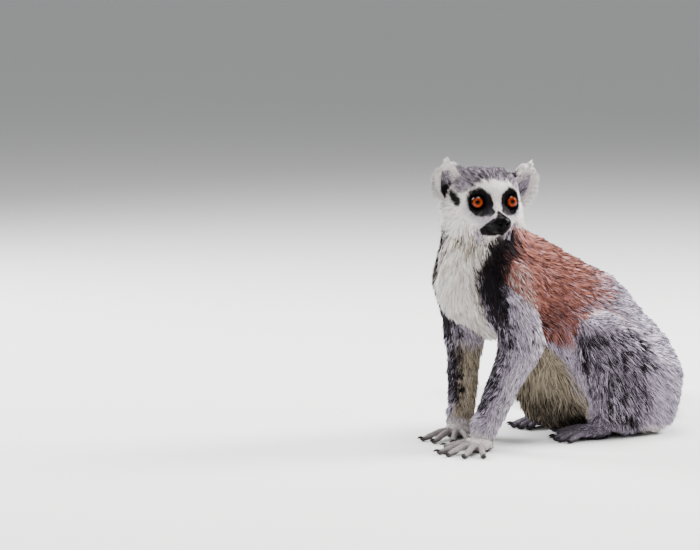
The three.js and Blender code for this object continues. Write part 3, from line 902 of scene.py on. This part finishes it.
def paint_trunk(marks, points, shares):
    x, y, z = both_sides(points).T
    back = y * OUT_OF_BACK[0] + z * OUT_OF_BACK[1] - TRUNK_MIDDLE
    paint_brown(marks, points, shares, back)
    thigh = share_of(shares, "thigh", "shank") * smooth(36, 26, x)
    belly = smooth(-34, -42, back) * (share_of(shares, "trunk", "chest") + thigh)
    paint(marks, TAN, belly)
    # painted shade: the belly darker towards the bottom
    paint(marks, DARK, 0.55 * belly * smooth(84, 30, z))
    chest = line_distance(points, CHEST_LINE)
    off_arms = 1 - share_of(shares, "upper_arm", "forearm")
    paint(marks, WHITE, smooth(53, 43, chest + 2 * waves(points, 12, 3)) * off_arms)
    paint(marks, WHITE, smooth(26, 14, line_distance(points, THROAT)) * off_arms)
    # painted shade: tan over the lower chest, below the throat
    paint(marks, TAN, 0.3 * smooth(226, 204, z) * off_arms * smooth(60, 50, chest))
    flecks = smooth(14, 6, line_distance(points, THROAT_FLECKS))
    paint(marks, TAN, 0.5 * flecks)
    paint(marks, DARK, 0.5 * flecks * smooth(-0.1, 0.9, waves(points, 5, 18)))
    fluff = smooth(20, 6, z) * smooth(-14, 4, y) * share_of(shares, "trunk", "thigh", "shank")
    paint(marks, WHITE, 0.8 * fluff)
    speckle = 2.5 * waves(points, 13, 2) + 1.5 * waves(points, 4, 10)
    for route, width, fade, depth in BANDS:
        band = line_distance(points, route) + speckle
        paint(marks, DARK, depth * smooth(width + fade / 2, width - fade / 2, band))


def paint_stretch(marks, points, region, near, start, end, side, fine):
    """Pale and dark sides of an upper arm, forearm or shank: a tan inner side, and a dark front
    and pale rear that are partly painted shade and painted light.
    """
    offset = from_line(points, start, end)
    around = unit(offset)
    if region != "upper_arm":
        inwards = 8 if region == "shank" else 1
        inner = smooth(inwards, inwards + 8, -offset[:, 0] * side) * near
        paint(marks, TAN, 0.8 * inner)
        paint(marks, DARK, 0.22 * inner)
    if region != "shank":
        # dark front: partly the coat's dark speckle, partly painted shade; pale rear: partly paler
        # hair, partly painted light
        front = smooth(0.4, 0.9, around @ unit((-0.05 * side, -1, 0)) + 0.18 * fine)
        pale_lit_rear = smooth(0, 0.8, around @ unit((0.8 * side, 0.6, 0)) + 0.18 * fine)
        paint(marks, WHITE, 0.3 * pale_lit_rear * near)
        paint(marks, DARK, front * near * smooth(24, 44, points[:, 2]) * 0.72)
    if region == "forearm":
        gland = mixed(start, end, GLAND_SHARE) + np.array(GLAND_OFFSET) * (side, 1, 1)
        paint(marks, DARK, smooth(5.6, 4.2, np.linalg.norm(points - gland, axis=1)))


def paint_limbs(marks, points, shares):
    across = both_sides(points)
    x, y, z = across.T
    fine = waves(points, 7, 4)
    for limb in LIMBS.values():
        side = limb["side"]
        for region, start, end, _ in LIMB_BONES:
            if region != "thigh":
                near = share_of(shares, region) * (points[:, 0] * side > 0)
                ends = (np.array(limb[joint], float) for joint in (start, end))
                paint_stretch(marks, points, region, near, *ends, side, fine)
    legs = share_of(shares, "thigh", "shank") * smooth(26, 40, x)
    streaks = waves(points * (1, 0.75, 0.75), 12, 5) + 0.7 * waves(points, 5, 6)
    # the outer face of the legs: partly dark-tipped hair, mostly painted shade
    outer_leg_dark_and_shade = smooth(132, 106, z) * smooth(18, -16, y) * smooth(44, 56, x)
    paint(marks, DARK, legs * outer_leg_dark_and_shade * (0.5 + 0.28 * smooth(0, 1.3, streaks)))
    # painted light: pale along the thigh's top edge
    from_lit_ridge = line_distance(across, THIGH_RIDGE) + 1.5 * fine
    paint(marks, WHITE, 0.34 * legs * smooth(12, 4, from_lit_ridge))
    # painted shade along the folds
    for route, _, _, width in FOLDS:
        fold = line_distance(across, route) + 1.5 * fine
        paint(marks, DARK, 0.62 * smooth(width + 3, width - 3, fold))
    paws = share_of(shares, *PAW_REGIONS)
    foot = smooth(-120, -110, y)
    paint(marks, WHITE, paws * (1 - foot) * 0.7)
    paint(marks, DARK, paws * foot * 0.4)
    paint(marks, DARK, 0.55 * share_of(shares, "digit") * (1 - foot))
    # painted shade low on the hands and feet, by the ground and between the digits
    paint(marks, DARK, paws * 0.7 * smooth(6, 2.5, z))


def paint_tail(marks, points, shares):
    _, nearest = nearest_line(points, TAIL_CURVE)
    t = TAIL_PLACES[nearest] + dots(points - TAIL_CURVE[nearest], TAIL_WAYS[nearest])[:, 0]
    on_tail = share_of(shares, "tail")
    ring = smooth(-0.22, 0.22, np.sin(math.pi * (t - RING_START) / RING_LENGTH))
    tip = TAIL_PLACES[-1] - TAIL_TIP
    dark = np.maximum(ring, smooth(tip, tip + 8, t)) * smooth(28, 46, t)
    paint(marks, WHITE, on_tail * smooth(30, 60, t))
    paint(marks, DARK, on_tail * dark * 0.97)


def above_muzzle(points):
    """How far above the edge of the black muzzle a place is, less than 0 on the black."""
    x, y, z = both_sides(in_head(points)).T
    bridge, outwards, backwards = MUZZLE_EDGE
    edge = bridge - outwards * x - backwards * np.maximum(y + 56, 0) * smooth(3, 10, x)
    return np.maximum(np.maximum(z - edge, MUZZLE_FLOOR - z), y - MUZZLE_REAR)


def paint_head(marks, points, shares):
    head = both_sides(in_head(points))
    x, y, z = head.T
    wobble = waves(points, 6, 7)
    on_head = share_of(shares, *HEAD_REGIONS) * smooth(-40, -30, z)
    paint(marks, WHITE, on_head)
    height, fall = CROWN_EDGE
    crown = smooth(-1.8, 1.8, z - height + fall * x * x + 1.2 * wobble) * smooth(33, 29, x)
    nape = smooth(-6, 6, y - 16 - 0.25 * z) * smooth(40, 26, x)
    crown = on_head * np.maximum(crown, nape)
    paint(marks, None, crown)
    paint(marks, TAN, 0.3 * crown)
    pepper = 0.62 + 0.2 * waves(points, 3, 14)
    paint(marks, DARK, crown * pepper * (1 - 0.45 * smooth(17, 28, x)))
    (out, up), (half_width, half_height) = EYE_PATCH
    patch = np.hypot((x - out) / half_width, (z - up) / half_height) + 0.03 * wobble
    # painted shade: grey below each eye patch
    under = smooth(1.55, 1.05, patch) * smooth(2, -8, z) * smooth(-12, -20, y)
    paint(marks, None, 0.6 * on_head * under)
    tear = smooth(5.5, 3.6, line_distance(head, TEAR_LINE))
    patch = np.maximum(smooth(1.05, 0.93, patch), tear)
    paint(marks, DARK, on_head * patch * smooth(-8, -16, y))
    over = above_muzzle(points)
    paint(marks, None, 0.6 * smooth(11, 1, over) * smooth(5, 10, x))
    paint(marks, DARK, smooth(0.8, -0.8, over + 0.4 * wobble))


def ear_coordinates(points, name):
    """Across and along an ear's leaf, the place there, and whether a point belongs to the ear."""
    origin, tip = ear_place(name, np.zeros(2), np.array([0, 1]))
    beside = ear_place(name, np.array([1e-3]), np.zeros(1))[0]
    offset = points - origin
    v = np.clip(offset @ unit(tip - origin) / EAR_LENGTH, 0, EAR_TIP)
    u = np.clip(offset @ unit(beside - origin) / ear_half_width(v), -1, 1)
    leaf = ear_place(name, u, v)
    return u, v, leaf, np.linalg.norm(points - leaf, axis=1) < EAR_REACH


def ear_regions(points, normals):
    """For each point: 0 off the ears or its kind of ear coat; the way that hair lies there; and
    its place across and along the ear."""
    kind = np.zeros(len(points), int)
    way = np.zeros_like(points)
    across = np.zeros(len(points))
    along = np.zeros(len(points))
    x, _, z = both_sides(in_head(points)).T
    for name in LIMBS:
        u, v, leaf, on_leaf = ear_coordinates(points, name)
        chosen = on_leaf & (x > EAR_SIDE) & (z > EAR_ROOT_HEIGHT) & (v > 0.1)
        back = ((ear_place(name, u, v, out=1.0) - leaf) * normals).sum(1)
        rim = (np.abs(u) > 0.86) | (v > 0.93)
        here = np.where(rim, EAR_RIM, np.where(back > 0, EAR_BACK, EAR_FRONT))
        spread = np.where(rim, mixed(1.35, 2.4, smooth(0.86, 0.95, v)), 1.03)
        ahead = ear_place(name, u * spread, np.minimum(v + 0.09, 1)) - leaf
        ahead += head_way((0, 0, 1)) * 1.6 * smooth(0.85, 0.97, v)[:, None]
        for kept, found in ((kind, here), (way, unit(ahead)), (across, u), (along, v)):
            kept[chosen] = found[chosen]
    return kind, way, across, along


def paint_ears(marks, points, normals):
    kinds, _, across, along = ear_regions(points, normals)
    on_ear = kinds > 0
    front = kinds == EAR_FRONT
    marks[on_ear] = 0
    border = np.maximum(smooth(0.74, 0.84, np.abs(across)), smooth(0.86, 0.92, along))
    streaks = smooth(0.4, -0.5, across + 0.4 * waves(points, 3.2, 19))
    inside = front * (1 - border) * (1 - 0.85 * streaks)
    streaks = np.maximum(0.9 * streaks, 0.4 * smooth(0.5, 0.8, along))
    white = np.where(front, np.maximum(border, streaks), 0.97)
    depth = np.where(points[:, 0] < HEAD_CENTRE[0] - 10, EAR_INSIDE_DARK_AND_SHADE["right"], EAR_INSIDE_DARK_AND_SHADE["left"])
    # painted shade: the inside darker towards the ear's root, deep in its hollow
    dark = inside * depth * (0.45 + 0.55 * smooth(0.66, 0.4, along))
    marks[:, WHITE] = np.where(on_ear, white, marks[:, WHITE]) * (1 - dark)
    marks[:, DARK] = np.where(on_ear, dark, marks[:, DARK])
    paint(marks, DARK, 0.95 * smooth(7, 4.2, line_distance(in_head(points), EAR_NOTCH)))


def markings(points, normals):
    shares = region_shares(points)
    marks = np.zeros((len(points), 4))
    for painter in (paint_trunk, paint_limbs, paint_tail, paint_head):
        painter(marks, points, shares)
    paint_ears(marks, points, normals)
    return np.clip(marks, 0, 1)


def bareness(points):
    """How bare the skin is at a place: nose and lips, and lids."""
    bare = smooth(-0.6, -2.2, above_muzzle(points)) * smooth(-38, -42, in_head(points)[:, 1])
    for side in (1, -1):
        distance, _, angle = from_eye(points, side)
        lid = smooth(LID_OPENING + 16, LID_OPENING + 8, angle) * (distance < 13)
        bare = np.maximum(bare, lid)
    return bare


# ---------------------------------------------------------------- colours of coat and skin
TONES = {
    # each colour of the coat, at the dark and the pale end of its ticking
    "grey": (srgb(17, 13, 17), srgb(216, 203, 224)),
    "tan": (srgb(60, 50, 40), srgb(200, 186, 162)),
    "brown": (srgb(36, 17, 13), srgb(184, 118, 104)),
    "dark": (srgb(2, 1, 2), srgb(38, 33, 38)),
    "white": (srgb(190, 177, 172), srgb(255, 254, 252)),
}
TICKING = (0.3, 0.95, 0.12, 0.36)  # along each hair, by hair, by lock, by noise
TICKING_LIMITS = (0.42, 1.52)
# ticking of the skin under the coat, darker than the coat's: painted shade between the tufts
SKIN_SHADE_TICKING = (0.25, 0.4, 0.4, 1)
BARE_TONES = (srgb(0, 0, 0), srgb(3, 3, 4))
COAT_GLOSS = {"Roughness": 0.62, "Specular IOR Level": 0.04}


def coat_colour(finish):
    """The coat's colour from the markings, ticked along each hair and from lock to lock."""
    marks = finish.attribute("marks")
    shares = finish.node("SeparateColor", {"Color": marks["Color"]})
    levels = finish.node("SeparateColor", {"Color": finish.attribute("lock")["Color"]})
    sources = [*levels[:3], finish.noise(finish.place(), 420.0, 3.0)]
    ticking = finish.maths("MULTIPLY", sources[0], TICKING[0])
    for source, share in zip(sources[1:], TICKING[1:]):
        ticking = finish.maths("ADD", ticking, finish.maths("MULTIPLY", source, share))
    ticking = finish.map_range(ticking, TICKING_LIMITS)
    tones = {name: finish.mix(ticking, *ends) for name, ends in TONES.items()}
    colour = finish.mix(marks["Alpha"], tones["grey"], tones["tan"])
    for number, name in ((1, "brown"), (2, "dark"), (0, "white")):
        colour = finish.mix(shares[number], colour, tones[name])
    return colour


def layered(marks):
    """Turns weights into the shares that painting one colour over the other needs."""
    found = marks.copy()
    left = np.maximum(1 - marks[:, WHITE], 1e-4)
    for channel in (DARK, BROWN, TAN):
        found[:, channel] = np.clip(marks[:, channel] / left, 0, 1)
        left = np.maximum(left * (1 - found[:, channel]), 1e-4)
    return found


coat_finish = Finish("coat")
coat_finish.shade({"Base Color": coat_colour(coat_finish), **COAT_GLOSS})

skin_finish = Finish("skin")
skin_place = skin_finish.place()
skin_noise = skin_finish.noise(skin_place, 700.0, 4.0)
bare = skin_finish.attribute("bare")["Fac"]
bare_colour = skin_finish.mix(skin_noise, *BARE_TONES)
pores = skin_finish.node("TexVoronoi", {"Vector": skin_place, "Scale": 1500.0})["Distance"]
grain = skin_finish.maths("ADD", pores, skin_finish.maths("MULTIPLY", skin_noise, 0.6))
bumps = {"Strength": 0.35, "Distance": 0.0003, "Height": grain}
smoothness = skin_finish.maths("MULTIPLY", bare, 0.5)
skin_finish.shade(
    {
        "Base Color": skin_finish.mix(bare, coat_colour(skin_finish), bare_colour),
        "Normal": skin_finish.node("Bump", bumps)[0],
        "Roughness": skin_finish.maths("SUBTRACT", 0.8, smoothness),
        "Specular IOR Level": 0.045,
    }
)
skin.data.materials.append(skin_finish.material)

store(skin.data, "marks", layered(markings(skin_points, normals_of(skin))))
# the skin's darker ticking is painted shade between the tufts
store(skin.data, "lock", np.tile(SKIN_SHADE_TICKING, (len(skin_points), 1)))
store(skin.data, "bare", bareness(skin_points))

# ---------------------------------------------------------------- coat
PATCH = 0.003  # the side of a tuft's place on the OFBake map
PIECE_TUFTS = 49500
GROUPS = {
    # name: (regions, side or 0 for both, tufts)
    "head": (HEAD_REGIONS, 0, 96000),
    "trunk": (["trunk", "chest", "neck"], 0, 99000),
    "arm_left": (["upper_arm", "forearm"], 1, 30000),
    "arm_right": (["upper_arm", "forearm"], -1, 20000),
    "leg_left": (["thigh", "shank"], 1, 40000),
    "leg_right": (["thigh", "shank"], -1, 24000),
    "paws": (PAW_REGIONS, 0, 18000),
    "tail": (["tail"], 0, 43000),
}
LIE = {
    # the way that hair lies on regions where it doesn't follow the bones
    "trunk": (0, 0.8, -0.6),
    "chest": (0, 0.1, -1),
    "neck": (0, 0.1, -1),
    "thigh": (0, 0.62, -0.78),
}
NOSE_TIP = (0, -74, -10)  # in the head's own frame: the head's hair lies away from it
EMBEDDED = 0.4  # from a tuft's root to the skin over it
LEAST_HEIGHT = 0.15  # of the coat above the floor
BEND = 0.42  # share of a tuft's length below its bend
LIFTS = (1.5, 0.55)  # below and above the bend, of the tuft's lift
GATHERS = (0.3, 0.8)  # how far the bend and the tip follow the lock's clump
SWING = 0.13  # radians
TWIST = 0.45
LENGTH_RANGE = (0.72, 1.2)
LIFT_RANGE = (0.6, 1.35)
WIDTH_RANGE = (0.7, 1.3)
COLOUR_PLACE = 0.45  # how far along a tuft's length its colour is looked up
TUFT_FACES = [[0, 2, 1], [3, 1, 2], [0, 1, 3], [0, 3, 2]]
TUFT_LEVELS = (0, 0.5, 0.5, 1)  # along a tuft: root, both sides of its bend, tip
# Where the corners of a tuft lie on its patch of the map.
TUFT_PATCH = [(0.5, 0), (0.05, 0.5), (0.95, 0.5), (0.5, 1)]
DITHER = 0.52  # how much of a soft edge between colours is drawn by whole tufts


def lie_of_coat(points, normals, shares):
    """The way that the hair lies, within the skin's surface."""
    lie = np.zeros_like(points)
    total = np.zeros((len(points), 1))
    for region, route, radius in BONES:
        near = np.exp(-5 * line_distance(points, route) / radius)
        weight = (near * share_of(shares, region))[:, None]
        if region in HEAD_REGIONS:
            way = unit(points - from_head(NOSE_TIP))
        elif region in LIE:
            way = np.array([LIE[region]], float)
        else:
            way = way_along(TAIL_CURVE if region == "tail" else route, points)
        lie += way * weight
        total += weight
    lie /= np.maximum(total, 1e-12)
    for side in (1, -1):
        distance, way, _ = from_eye(points, side)
        lie = mixed(lie, way, smooth(19, 11, distance)[:, None] * 0.85)
    return unit(within(lie, normals))


def turned(ways, axes, angles):
    """Ways turned round their axes by angles in radians."""
    cos, sin = np.cos(angles)[:, None], np.sin(angles)[:, None]
    return ways * cos + np.cross(axes, ways) * sin + axes * dots(axes, ways) * (1 - cos)


skin.data.calc_loop_triangles()
SKIN_CORNERS = read(skin.data.loop_triangles, "vertices", 3, np.int32)
SKIN_LOOPS = read(skin.data.loop_triangles, "loops", 3, np.int32)
SKIN_FACES = read(skin.data.loop_triangles, "polygon_index", 1, np.int32)
SKIN_NORMALS = normals_of(skin)
TRIANGLES = skin_points[SKIN_CORNERS]
TRIANGLE_SIDES = TRIANGLES[:, 1:] - TRIANGLES[:, :1]
TRIANGLE_AREAS = np.linalg.norm(np.cross(TRIANGLE_SIDES[:, 0], TRIANGLE_SIDES[:, 1]), axis=1) / 2
TRIANGLE_MIDDLES = TRIANGLES.mean(1)
TRIANGLE_SHARES = region_shares(TRIANGLE_MIDDLES)
TRIANGLE_EARS = ear_regions(TRIANGLE_MIDDLES, SKIN_NORMALS[SKIN_CORNERS].mean(1))[0]


def unwrap(faces):
    """Unwraps part of the skin over its own square, and gives the map at every corner."""
    skin.data.uv_layers.active = skin.data.uv_layers.new(name="unwrap")
    select_only(skin)
    skin.data.polygons.foreach_set("select", faces)
    bpy.ops.object.mode_set(mode="EDIT")
    bpy.ops.mesh.select_mode(type="FACE")
    bpy.ops.uv.smart_project(angle_limit=math.radians(66), island_margin=0.004)
    bpy.ops.object.mode_set(mode="OBJECT")
    layer = skin.data.uv_layers["unwrap"]
    places = read(layer.uv, "vector", 2)
    skin.data.uv_layers.remove(layer)
    return places


def tuft_weights():
    """How many tufts each triangle takes: none on bare skin, in an eye or at the ground."""
    density = coat_trait("density", TRIANGLE_SHARES, TRIANGLE_EARS)
    density *= 1 - bareness(TRIANGLE_MIDDLES)
    for side in (1, -1):
        distance, _, angle = from_eye(TRIANGLE_MIDDLES, side)
        density[(distance < 12) & (angle < LID_OPENING + 12)] = 0
    density[TRIANGLE_MIDDLES[:, 2] < 1.2] = 0
    return density * TRIANGLE_AREAS


WEIGHTS = tuft_weights()


def scatter(members, count):
    """Roots spread over the member triangles: place, normal, triangle and place within it."""
    sums = np.cumsum(WEIGHTS * members)
    picks = (np.arange(count) + chance.random(count)) / count * sums[-1]
    triangle = np.searchsorted(sums, picks)
    a, b = np.sqrt(chance.random(count)), chance.random(count)
    inside = np.stack([1 - a, a * (1 - b), a * b], axis=1)[:, :, None]
    corners = SKIN_CORNERS[triangle]
    place = (skin_points[corners] * inside).sum(1)
    return place, unit((SKIN_NORMALS[corners] * inside).sum(1)), triangle, inside


def nearest_locks(places, members, spacing):
    """The tufts that locks gather to, and which of them each tuft belongs to."""
    count = max(int(TRIANGLE_AREAS[members].sum() / spacing**2), 8)
    centres = chance.choice(len(places), min(count, len(places)), replace=False)
    tree = KDTree(len(centres))
    for n, centre in enumerate(centres):
        tree.insert(places[centre], n)
    tree.balance()
    return centres, np.array([tree.find(place)[1] for place in places])


def tuft_mesh(name, verts, shading):
    """A mesh of four-cornered tufts, with its own shading at each corner."""
    count = len(verts)
    corners = (np.arange(count)[:, None, None] * 4 + np.array(TUFT_FACES)).reshape(-1, 3)
    mesh = bpy.data.meshes.new(name)
    mesh.vertices.add(count * 4)
    mesh.vertices.foreach_set("co", (verts * MM).astype(np.float32).ravel())
    mesh.loops.add(len(corners) * 3)
    mesh.loops.foreach_set("vertex_index", corners.astype(np.int32).ravel())
    mesh.polygons.add(len(corners))
    mesh.polygons.foreach_set("loop_start", np.arange(len(corners), dtype=np.int32) * 3)
    mesh.update(calc_edges=True)
    mesh.polygons.foreach_set("use_smooth", np.ones(len(corners), bool))
    mesh.normals_split_custom_set_from_vertices(unit(shading).reshape(-1, 3).tolist())
    return mesh, corners


def grow(name, unwrapped, members, count):
    """One piece of coat. Each tuft leaves its root steeply and bends over at its middle."""
    place, normal, triangle, inside = scatter(members, count)
    shares = region_shares(place)
    ears, ear_way, _, _ = ear_regions(place, normal)
    on_ear, on_rim = (ears > 0)[:, None], (ears == EAR_RIM)[:, None]
    ear_way = np.where(on_rim, ear_way, unit(within(ear_way, normal)))
    lie = np.where(on_ear, ear_way, lie_of_coat(place, normal, shares))
    swing = 0.22 * waves(place, 24, 11) + 0.12 * waves(place, 9, 12)
    lie = turned(lie, normal, swing + chance.normal(0, SWING, count))
    length = coat_trait("length", shares, ears) * chance.uniform(*LENGTH_RANGE, count)
    length = (length * (1 + 0.1 * waves(place, 11, 13)))[:, None]
    lift = np.radians(coat_trait("lift", shares, ears)) * chance.uniform(*LIFT_RANGE, count)
    lifts = (lift[:, None] * share for share in LIFTS)
    below, above = (lie * np.cos(angle) + normal * np.sin(angle) for angle in lifts)
    root = place - normal * EMBEDDED
    middle = root + below * (BEND * length)
    tip = middle + above * ((1 - BEND) * length)

    centres, lock = nearest_locks(middle, members, coat_trait("lock", shares).mean())
    clump = coat_trait("clump", shares, ears)[:, None]
    leader = centres[lock]
    middle = mixed(middle, middle[leader], clump * GATHERS[0])
    tip = mixed(tip, tip[leader], clump * GATHERS[1])
    lock_tone = chance.random(len(centres))[lock]

    along = unit(tip - root)
    sideways = unit(np.cross(along, normal))
    crest = unit(normal * 0.8 + np.cross(sideways, along) * 0.35)
    half = coat_trait("width", shares, ears) * chance.uniform(*WIDTH_RANGE, count) / 2
    sideways = turned(sideways, along, chance.normal(0, TWIST, count))
    edge = sideways * half[:, None]
    verts = np.stack([root, middle - edge, middle + edge, tip], axis=1)
    verts[:, :, 2] = np.maximum(verts[:, :, 2], LEAST_HEIGHT)
    shading = [crest, crest - sideways * 0.55, crest + sideways * 0.55, crest + along * 0.3]
    mesh, corners = tuft_mesh(name, verts, np.stack(shading, axis=1))

    marks = layered(markings(place + lie * (COLOUR_PLACE * length), normal))
    dice = DITHER * chance.random((count, 4))
    even = share_of(shares, "face", "muzzle")[:, None]
    marks = mixed(smooth(dice, dice + 1 - DITHER, marks), marks, even)
    levels = np.ones((count, 4, 4))
    levels[:, :, 0] = TUFT_LEVELS
    levels[:, :, 1] = chance.random(count)[:, None]
    levels[:, :, 2] = lock_tone[:, None]
    store(mesh, "marks", np.repeat(marks, 4, axis=0))
    store(mesh, "lock", levels)

    spot = (unwrapped[SKIN_LOOPS[triangle]] * inside).sum(1)[:, None]
    spots = (spot + (np.array(TUFT_PATCH) - 0.5) * PATCH).reshape(-1, 2)
    layer = mesh.uv_layers.new(name="OFBake")
    layer.uv.foreach_set("vector", spots[corners.ravel()].astype(np.float32).ravel())
    mesh.materials.append(coat_finish.material)
    obj = put(name, mesh)
    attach(obj, "root")


def group_members(regions, side):
    """The triangles that belong to a group more than to any other."""
    groups = [share_of(TRIANGLE_SHARES, *others) for others, _, _ in GROUPS.values()]
    members = share_of(TRIANGLE_SHARES, *regions) >= np.max(groups, axis=0)
    return members & (TRIANGLE_MIDDLES[:, 0] * side > 0) if side else members


for group_name, (regions, side, tufts) in GROUPS.items():
    members = group_members(regions, side)
    faces = np.zeros(len(skin.data.polygons), bool)
    faces[SKIN_FACES[members]] = True
    unwrapped = unwrap(faces)
    layers = math.ceil(tufts / PIECE_TUFTS)
    for layer_number in range(1, layers + 1):
        grow(f"coat_{group_name}_{layer_number}", unwrapped, members, tufts // layers)

# ---------------------------------------------------------------- eyes
GAZE = {"left": (80, 4), "right": (53, 4)}  # degrees round from -Y, and up
BULGE = 0.075  # how far the cornea stands out, as a share of the radius
IRIS = [
    # how far from the middle of the pupil, as a share of the way to the back; colour
    (0.046, srgb(1, 0, 0)),
    (0.06, srgb(36, 7, 1)),
    (0.09, srgb(104, 28, 0)),
    (0.15, srgb(160, 58, 0)),
    (0.195, srgb(116, 30, 0)),
    (0.225, srgb(44, 9, 1)),
    (0.25, srgb(3, 1, 2)),
]
LID_SHADE = (1.0, 0.15)  # brightness at the eye's middle and at its top
EYE_GLOSS = {
    "Roughness": 0.5,
    "Specular IOR Level": 0,
    "Coat Weight": 0.3,
    "Coat Roughness": 0.03,
    "Coat IOR": 1.38,
}


def eye_ball(name):
    ball = added_sphere(64, 48, EYE_R)
    ball.name = f"eyeball_{name}"
    points = points_of(ball)
    radius = np.linalg.norm(points, axis=1)
    angle = np.degrees(np.arccos(np.clip(points[:, 2] / radius, -1, 1)))
    move_points(ball, points * (1 + BULGE * smooth(50, 18, angle))[:, None])
    turn, rise = GAZE[name]
    level = math.cos(math.radians(rise))
    gaze = Vector((*(heading(turn) * level)[:2], math.sin(math.radians(rise))))
    ball.rotation_mode = "QUATERNION"
    ball.rotation_quaternion = gaze.to_track_quat("Z", "Y")
    ball.location = Vector(eye_centre(LIMBS[name]["side"])) * MM
    settle(ball)
    bpy.ops.object.shade_smooth()
    return ball


def eye_colour(finish):
    """Rings of colour round the pupil, streaked by fibres and darker under the upper lid."""
    around = finish.node("SeparateXYZ", {"Vector": finish.node("UVMap", uv_map="UVMap")[0]})
    angle = finish.maths("MULTIPLY", around[0], 2 * math.pi)
    from_pole = finish.maths("SUBTRACT", 1.0, around[1])
    spokes = {
        "X": finish.maths("COSINE", angle),
        "Y": finish.maths("SINE", angle),
        "Z": finish.maths("MULTIPLY", from_pole, 3.0),
    }
    fibres = finish.noise(finish.node("CombineXYZ", spokes)[0], 9.0, 5.0, 0.7)
    wander = finish.maths("MULTIPLY", finish.maths("SUBTRACT", fibres, 0.5), 0.03)
    rings = finish.node("ValToRGB", {"Fac": finish.maths("ADD", from_pole, wander)})[0]
    ramp = rings.node.color_ramp
    for stop, _ in IRIS[2:]:
        ramp.elements.new(stop)
    for element, (stop, tone) in zip(ramp.elements, IRIS):
        element.position = stop
        element.color = tone
    height = finish.node("SeparateXYZ", {"Vector": finish.place()})[2]
    level = float(eye_centre(1)[2] * MM)
    under_lid = finish.map_range(height, (level, level + EYE_R * MM, *LID_SHADE))
    streaked = finish.maths("SUBTRACT", 1.2, finish.maths("MULTIPLY", fibres, 0.8))
    shade = {"Vector": rings, "Scale": finish.maths("MULTIPLY", streaked, under_lid)}
    return finish.node("VectorMath", shade, operation="SCALE")[0]


eye_finish = Finish("eye")
eye_finish.shade({"Base Color": eye_colour(eye_finish), **EYE_GLOSS})
for side_name in LIMBS:
    eye = eye_ball(side_name)
    eye.data.materials.append(eye_finish.material)
    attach(eye, "root")
    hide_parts(f"eye_{side_name}")

# ---------------------------------------------------------------- nails
NAIL_SHAPE = (0.95, 0.5, 0.38)  # half length, half width and height, in the digit's radii
NAIL_TONES = (srgb(6, 5, 6), srgb(40, 34, 35))
NAIL_GLOSS = {"Roughness": 0.55, "Specular IOR Level": 0.15}


def nail(route, radius):
    """A small pointed nail that lies over the end of a digit."""
    along = unit(route[-1] - route[-2])
    plate = added_sphere(12, 8, 1)
    points = points_of(plate)
    points[:, 2] = np.maximum(points[:, 2], -0.25)
    taper = 0.45 * smooth(0, 1, points[:, 0])
    points[:, 1] *= 1 - taper
    points[:, 2] -= taper
    points *= radius * np.array(NAIL_SHAPE)
    swing = np.array(Matrix.Rotation(math.atan2(along[1], along[0]), 3, "Z"))
    middle = route[-1] + along * radius * 0.45 + (0, 0, radius * 0.55)
    move_points(plate, points @ swing.T + middle)
    select_only(plate)
    bpy.ops.object.shade_smooth()
    return plate


nail_finish = Finish("nail")
nail_noise = nail_finish.noise(nail_finish.place(), 900.0, 3.0)
nail_finish.shade({"Base Color": nail_finish.mix(nail_noise, *NAIL_TONES), **NAIL_GLOSS})
for paw_name, (*_, digits) in PAWS.items():
    claws = joined([nail(route, radius) for route, radius in digits], f"nails_{paw_name}")
    claws.data.materials.append(nail_finish.material)
    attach(claws, "root")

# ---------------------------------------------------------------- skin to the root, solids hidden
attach(skin, "root")
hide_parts(*[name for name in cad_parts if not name.startswith("eye_")])
